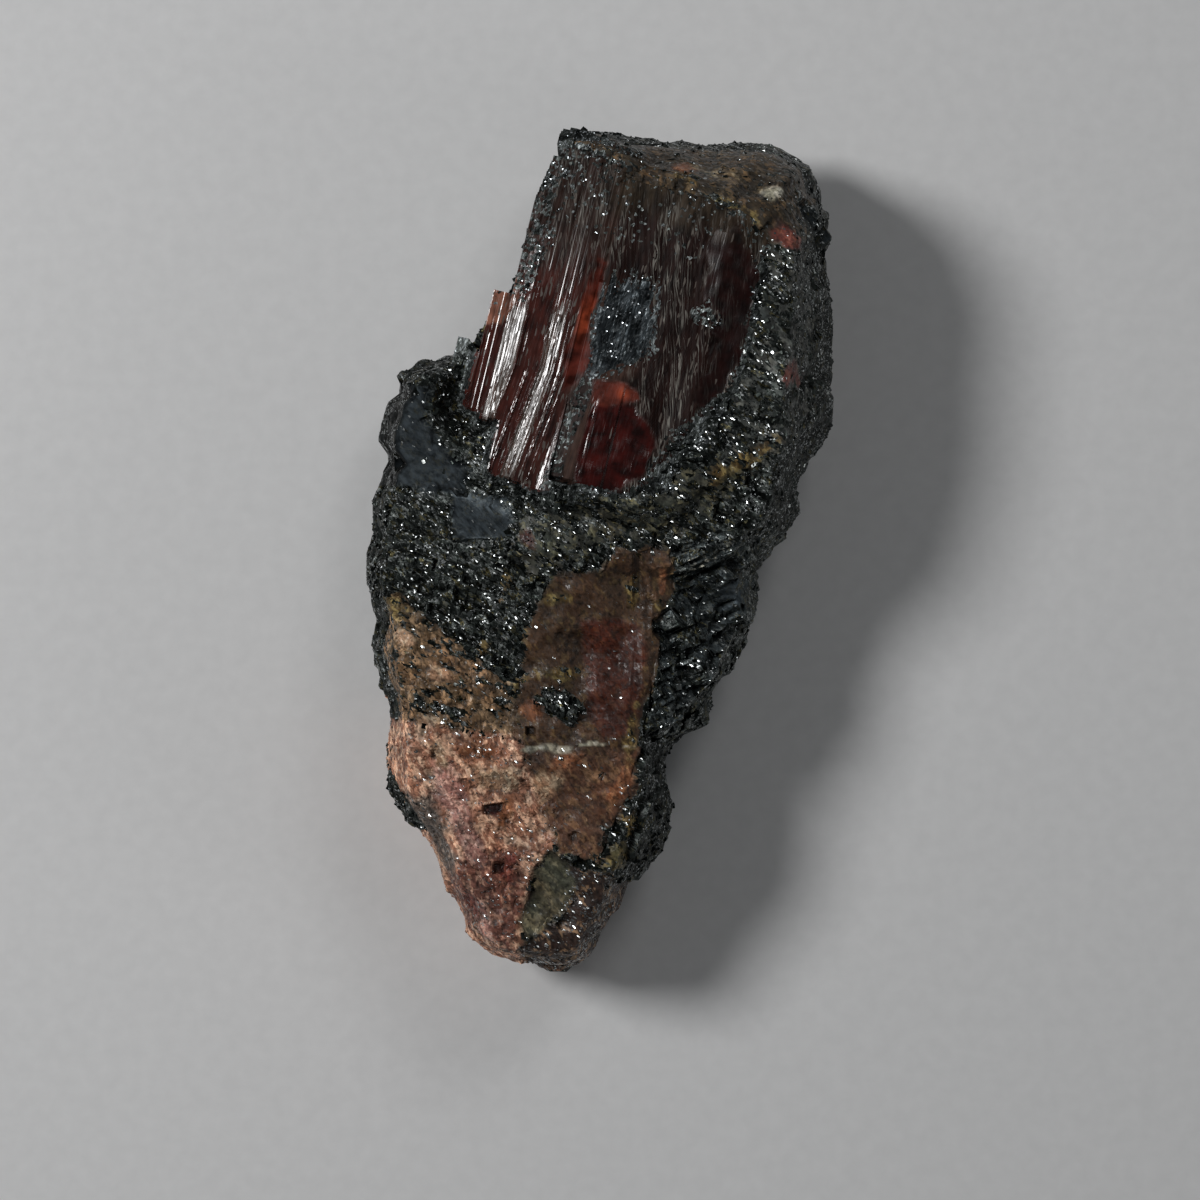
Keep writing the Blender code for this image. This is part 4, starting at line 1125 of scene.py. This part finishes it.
def rock_finish():
    finish = Finish("galena_and_rhodonite_rock")
    place = finish.wavering(finish.place(), 1600.0, 3.0, 0.0004)
    ground, fleck = finish.attribute("ground", "Color"), finish.attribute("fleck", "Color")
    metal, sheen, tone = (finish.attribute(name) for name in ("metal", "sheen", "tone"))

    ore_grain = finish.along(place, ORE_GRAIN_TURN, 2.2)
    stone_grain = finish.along(place, GRAIN_TURN, 2.0)
    cell, random = finish.grains(ore_grain, ORE_GRAIN_MM)
    small, small_random = finish.grains(stone_grain, GRAIN_MM)
    patchy = finish.cloudy(ore_grain, 0.9, 5.0, 0.3, 0.7, 0.0, 0.7)
    is_metal = finish.maths("LESS_THAN", finish.maths("MULTIPLY_ADD", random[0], 0.3, patchy), metal)

    # The stone is cloudy, its colours run into one another, with dark seams between grains.
    limit = finish.maths("MULTIPLY_ADD", finish.attribute("flecked"), -0.24, 0.62)
    over = finish.maths("SUBTRACT", finish.noise(stone_grain, 0.8, 5.0), limit)
    stone = finish.mixed(finish.spread(over, -0.03, 0.03), ground, fleck)
    seams = finish.cloudy(place, 0.7, 5.0, 0.36, 0.5, 0.4, 1.0)
    light_dark = finish.maths("ADD", small_random[0], finish.noise(stone_grain, 0.4, 4.0))
    light_dark = finish.spread(light_dark, 0.4, 1.5, 0.6, 1.4)
    cloudy = finish.cloudy(place, 3.0, 4.0, 0.3, 0.7, 0.75, 1.25)
    stone = finish.scaled(stone, finish.times(finish.times(light_dark, cloudy), seams))

    # The galena is mostly dull and near black, with thin paler strokes and clean faces
    # that glint.
    dull = finish.mixed(sheen, opaque(41, 45, 43), opaque(58, 64, 68))
    dull = finish.scaled(dull, finish.cloudy(ore_grain, 0.6, 5.0, 0.32, 0.68, 0.4, 1.6))
    short, long = finish.strokes(ore_grain, 0.55, 0.05), finish.strokes(place, 0.8, 0.03)
    stroke = finish.maths("MAXIMUM", short, long)
    stroke = finish.times(stroke, finish.cloudy(place, 1.4, 4.0, 0.42, 0.62, 0.1, 1.0))
    stroke = finish.times(stroke, finish.maths("MULTIPLY_ADD", sheen, -0.8, 1.0))
    is_tarnished = finish.maths("LESS_THAN", random[2], 0.3)
    stroke_colour = finish.mixed(is_tarnished, opaque(110, 114, 112), opaque(100, 94, 66))
    dull = finish.mixed(stroke, dull, stroke_colour)
    # The tone paints shade and highlight into the galena's colour.
    dull = finish.scaled(dull, finish.times(tone, 2.0))
    colour = finish.mixed(is_metal, stone, dull)

    coarse = finish.maths("SUBTRACT", 1.0, finish.times(sheen, 0.9))
    tilt = finish.mixed_value(is_metal, 0.25, finish.times(coarse, 0.6))
    normal = finish.normal()
    facing = finish.tipped(normal, cell, tilt)
    facing = finish.tipped(facing, small, finish.times(tilt, 0.5))
    metal_glints = finish.times(coarse, 0.08)
    glint_share = finish.mixed_value(is_metal, finish.attribute("sparkle"), metal_glints)
    is_glint, facing = finish.glints(ore_grain, facing, glint_share)
    colour = finish.mixed(is_glint, colour, opaque(186, 190, 190))
    bump = finish.bump(facing, finish.noise(stone_grain, 0.25, 5.0), 0.35, 0.00008)
    metal_rough = finish.spread(small_random[1], 0.1, 0.9, 0.4, 0.7)
    metal_rough = finish.mixed_value(sheen, metal_rough, 0.6)
    stone_rough = finish.spread(small_random[2], 0.1, 0.9, 0.35, 0.75)
    roughness = finish.mixed_value(is_glint, finish.mixed_value(is_metal, stone_rough, metal_rough), 0.3)
    finish.set(Base_Color=colour, Metallic=finish.maths("MAXIMUM", is_metal, is_glint), Normal=bump,
               IOR=1.6, Roughness=roughness, Specular_IOR_Level=0.35)
    return finish.material


rock.data.materials.append(rock_finish())
middle, normal, _ = faces_of(rock)
smooth = (stones_at(middle)["sheen"] > 0.6) & (normal[:, 2] > 0.5)
rock.data.polygons.foreach_set("use_smooth", smooth)
rock.data.update()
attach(rock, "root")
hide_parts("galena_matrix")

# ------------------------------------------------------------------------------------
# The small cleavage cubes that stand out from the galena's broken surface. Each is part
# of the stone. Neighbours in one patch of the ore break along the same directions.
# ------------------------------------------------------------------------------------

CUBES = 11000
CUBE_SIZE_MM = (0.16, 0.6)
ORE_PATCHES = 160
CUBE_SUNK = 0.4  # of its thickness
CUBES_ON_FRONT = 2.5  # times as many there as on the back and sides


def joined(name, shape, shape_faces, places, axes, sizes):
    """One mesh of many small copies of a shape, each with its own place, axes and size."""
    corners = places[:, None, :] + np.einsum("nij,nkj->nki", axes, shape[None] * sizes[:, None, :])
    faces = shape_faces[None] + len(shape) * np.arange(len(places))[:, None, None]
    faces = faces.reshape(-1, shape_faces.shape[1])
    mesh = bpy.data.meshes.new(name)
    mesh.from_pydata((corners.reshape(-1, 3) * MM).tolist(), [], faces.tolist())
    mesh.update()
    piece = bpy.data.objects.new(name, mesh)
    bpy.context.scene.collection.objects.link(piece)
    return piece


def spins(z_turns, tilts, tilt_directions):
    """Turns about Z, then a tilt about a level direction, as arrays of axes."""
    c, s, none, one = np.cos(z_turns), np.sin(z_turns), np.zeros(len(z_turns)), np.ones(len(z_turns))
    flat = np.stack([c, -s, none, s, c, none, none, none, one], axis=1).reshape(-1, 3, 3)
    a, b, ct, st = np.cos(tilt_directions), np.sin(tilt_directions), np.cos(tilts), np.sin(tilts)
    tipped = np.stack([ct + a * a * (1 - ct), a * b * (1 - ct), b * st,
                       a * b * (1 - ct), ct + b * b * (1 - ct), -a * st,
                       -b * st, a * st, ct], axis=1).reshape(-1, 3, 3)
    return tipped @ flat


def mostly_small(count, least, most):
    """Random sizes, with more small ones than large."""
    return chance.uniform(0, 1, count) ** 2 * (most - least) + least


chance = np.random.default_rng(404)
rock_faces = faces_of(rock)
stone = stones_at(rock_faces[0])
bare = (1 - stone["stony"]) * (1 - 0.95 * stone["sheen"]) * (1 - 0.8 * stone["crust"])
bare *= 1 - 0.6 * stone["belt"]

# Galena also coats the low parts of the crystal and closes the seam around it.
crystal_faces = faces_of(crystal)
coat_at = painted(crystal, "coat")
coated = np.array([coat_at[face.vertices[0]] for face in crystal.data.polygons])
across, along = to_columns(*crystal_faces[0][:, :2].T)
on_coat = (coated > 0.7) & (crystal_faces[1][:, 2] > 0.3) & (across > 0) & (along < 38)
middle, normal, area = (np.concatenate(pair) for pair in zip(rock_faces, crystal_faces))
weight = area * np.concatenate([bare, 0.4 * on_coat])
weight *= np.where(normal[:, 2] > 0.2, CUBES_ON_FRONT, 1.0)
chosen = chance.choice(len(middle), CUBES, p=weight / weight.sum())
places, faced = middle[chosen], normal[chosen]
seeds = middle[chance.choice(len(middle), ORE_PATCHES, p=weight / weight.sum())]
patch = KDTree(ORE_PATCHES)
for number, seed in enumerate(seeds):
    patch.insert(seed, number)
patch.balance()
nearest = np.array([patch.find(place)[1] for place in places])
turn = chance.uniform(0, 2 * math.pi, ORE_PATCHES)[nearest] + chance.normal(0, 0.06, CUBES)
tilt = chance.uniform(0, 0.75, ORE_PATCHES)[nearest] + chance.normal(0, 0.05, CUBES)
toward = chance.uniform(0, 2 * math.pi, ORE_PATCHES)[nearest] + chance.normal(0, 0.08, CUBES)
size = mostly_small(CUBES, *CUBE_SIZE_MM)
size *= chance.uniform(0.6, 1.3, ORE_PATCHES)[nearest]
sizes = size[:, None] * chance.uniform(0.6, 1.5, (CUBES, 3)) / 2
places = places - CUBE_SUNK * size[:, None] * faced
box_corners = np.array([(x, y, z) for x in (-1, 1) for y in (-1, 1) for z in (-1, 1)], float)
box_faces = np.array([(0, 1, 3, 2), (4, 6, 7, 5), (0, 4, 5, 1), (2, 3, 7, 6), (0, 2, 6, 4), (1, 5, 7, 3)])
cubes = joined("galena_cubes", box_corners, box_faces, places, spins(turn, tilt, toward), sizes)
move_corners(cubes, np.clip(corners_mm(cubes), low, high))
paint(cubes, "bright", np.repeat(chance.uniform(0, 1, CUBES), len(box_corners)))


def cube_finish():
    finish = Finish("galena_cleavage")
    place = finish.place()
    bright = finish.attribute("bright")
    stained = finish.cloudy(place, 0.5, 4.0, 0.35, 0.65, 0.5, 1.4)
    is_clean = finish.maths("GREATER_THAN", bright, 0.88)
    shaded = finish.mixed(is_clean, opaque(46, 50, 48), opaque(140, 144, 142))
    shaded = finish.scaled(shaded, stained)
    normal = finish.normal()
    is_glint, facing = finish.glints(place, normal, 0.04)
    finish.set(Base_Color=finish.mixed(is_glint, shaded, opaque(200, 205, 206)), Normal=facing,
               Roughness=finish.mixed_value(is_clean, finish.spread(bright, 0.0, 1.0, 0.3, 0.6), 0.25))
    finish.shader.inputs["Metallic"].default_value = 1.0
    return finish.material


cubes.data.materials.append(cube_finish())
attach(cubes, "root")

# ------------------------------------------------------------------------------------
# The separate rhodonite grains of the foot and the band: glassy, pink to brown, grown
# into one another so that only their upper halves stand out.
# ------------------------------------------------------------------------------------

GRAINS = 5000
GRAIN_SIZE_MM = (0.25, 0.8)
GRAIN_SUNK = 0.3  # of its size

middle, normal, area = rock_faces
weight = area * np.maximum(stone["foot"], 0.8 * stone["band"]) * (1 - stone["galena"])
weight = weight + 0.25 * area * np.maximum(stone["smooth_foot"], stone["dark_foot"])
weight *= normal[:, 2] > -0.6
chosen = chance.choice(len(middle), GRAINS, p=weight / weight.sum())
bpy.ops.mesh.primitive_ico_sphere_add(subdivisions=1, radius=MM)
pattern = bpy.context.active_object
lump = corners_mm(pattern)
lump_faces = np.array([face.vertices[:] for face in pattern.data.polygons])
bpy.data.objects.remove(pattern)
axes = spins(*(chance.uniform(0, turn, GRAINS) for turn in (6.28, 1.57, 6.28)))
size = mostly_small(GRAINS, *GRAIN_SIZE_MM)
sizes = size[:, None] * chance.uniform(0.55, 1.3, (GRAINS, 3)) / 2
places = middle[chosen] - GRAIN_SUNK * size[:, None] * normal[chosen]
grains = joined("rhodonite_grains", lump, lump_faces, places, axes, sizes)
points = np.clip(corners_mm(grains), low, high)
move_corners(grains, points)
tone = np.repeat(chance.uniform(0.6, 1.4, GRAINS), len(lump))
painted_stone(grains, points, tone, np.ones(len(points)))
grains.data.materials.append(rock.data.materials[0])
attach(grains, "root")

# ------------------------------------------------------------------------------------
# The studio: a pale floor, soft lights from the upper left and the top, and a camera
# straight above the specimen, which lies on its back.
# ------------------------------------------------------------------------------------

VIEW_SIZE_MM = 144.0
VIEW_MIDDLE_MM = (0.06, -5.76)
LENS_MM = 150.0
SENSOR_MM = 36.0
MID_HEIGHT_MM = 10.0  # the view's size is measured at this height

camera_data = bpy.data.cameras.new("camera")
camera_data.lens = LENS_MM
camera_data.sensor_width = SENSOR_MM
camera_data.sensor_fit = "HORIZONTAL"
camera_data.clip_start = 0.01
camera = bpy.data.objects.new("camera", camera_data)
eye_height = LENS_MM / SENSOR_MM * VIEW_SIZE_MM + MID_HEIGHT_MM
camera.location = Vector((*VIEW_MIDDLE_MM, eye_height)) * MM
bpy.context.scene.collection.objects.link(camera)
bpy.context.scene.camera = camera


def lamp(name, azimuth, elevation, distance_mm, size_mm, power):
    """A round soft light. Azimuth is anticlockwise from the right of the view."""
    a, e = math.radians(azimuth), math.radians(elevation)
    toward = Vector((math.cos(a) * math.cos(e), math.sin(a) * math.cos(e), math.sin(e)))
    data = bpy.data.lights.new(name, "AREA")
    data.shape = "DISK"
    data.size = size_mm * MM
    data.energy = power
    made = bpy.data.objects.new(name, data)
    made.location = toward * distance_mm * MM
    made.rotation_euler = toward.to_track_quat("Z", "Y").to_euler()
    bpy.context.scene.collection.objects.link(made)


lamp("key_light", 161, 48, 700, 200, 2.5)
lamp("top_light", 62, 50, 800, 260, 0.6)
lamp("floor_light", -20, 24, 900, 320, 0.45)

world = bpy.data.worlds.new("studio")
world.use_nodes = True
world.node_tree.nodes["Background"].inputs["Color"].default_value = (0.9, 0.95, 1.0, 1)
world.node_tree.nodes["Background"].inputs["Strength"].default_value = 0.05
bpy.context.scene.world = world
bpy.context.scene.view_settings.view_transform = "Standard"

paper = Finish("pale_paper")
tone = paper.cloudy(paper.place(), 2.0, 3.0, 0.3, 0.7, 0.78, 0.82)
grey = paper.add("ShaderNodeCombineColor", {0: tone, 1: tone, 2: tone}).outputs[0]
paper.set(Base_Color=grey, Roughness=0.9)
bpy.ops.mesh.primitive_plane_add(size=6.0, location=(0, 0, 0))
floor = bpy.context.active_object
floor.name = floor.data.name = "floor"
floor.data.materials.append(paper.material)
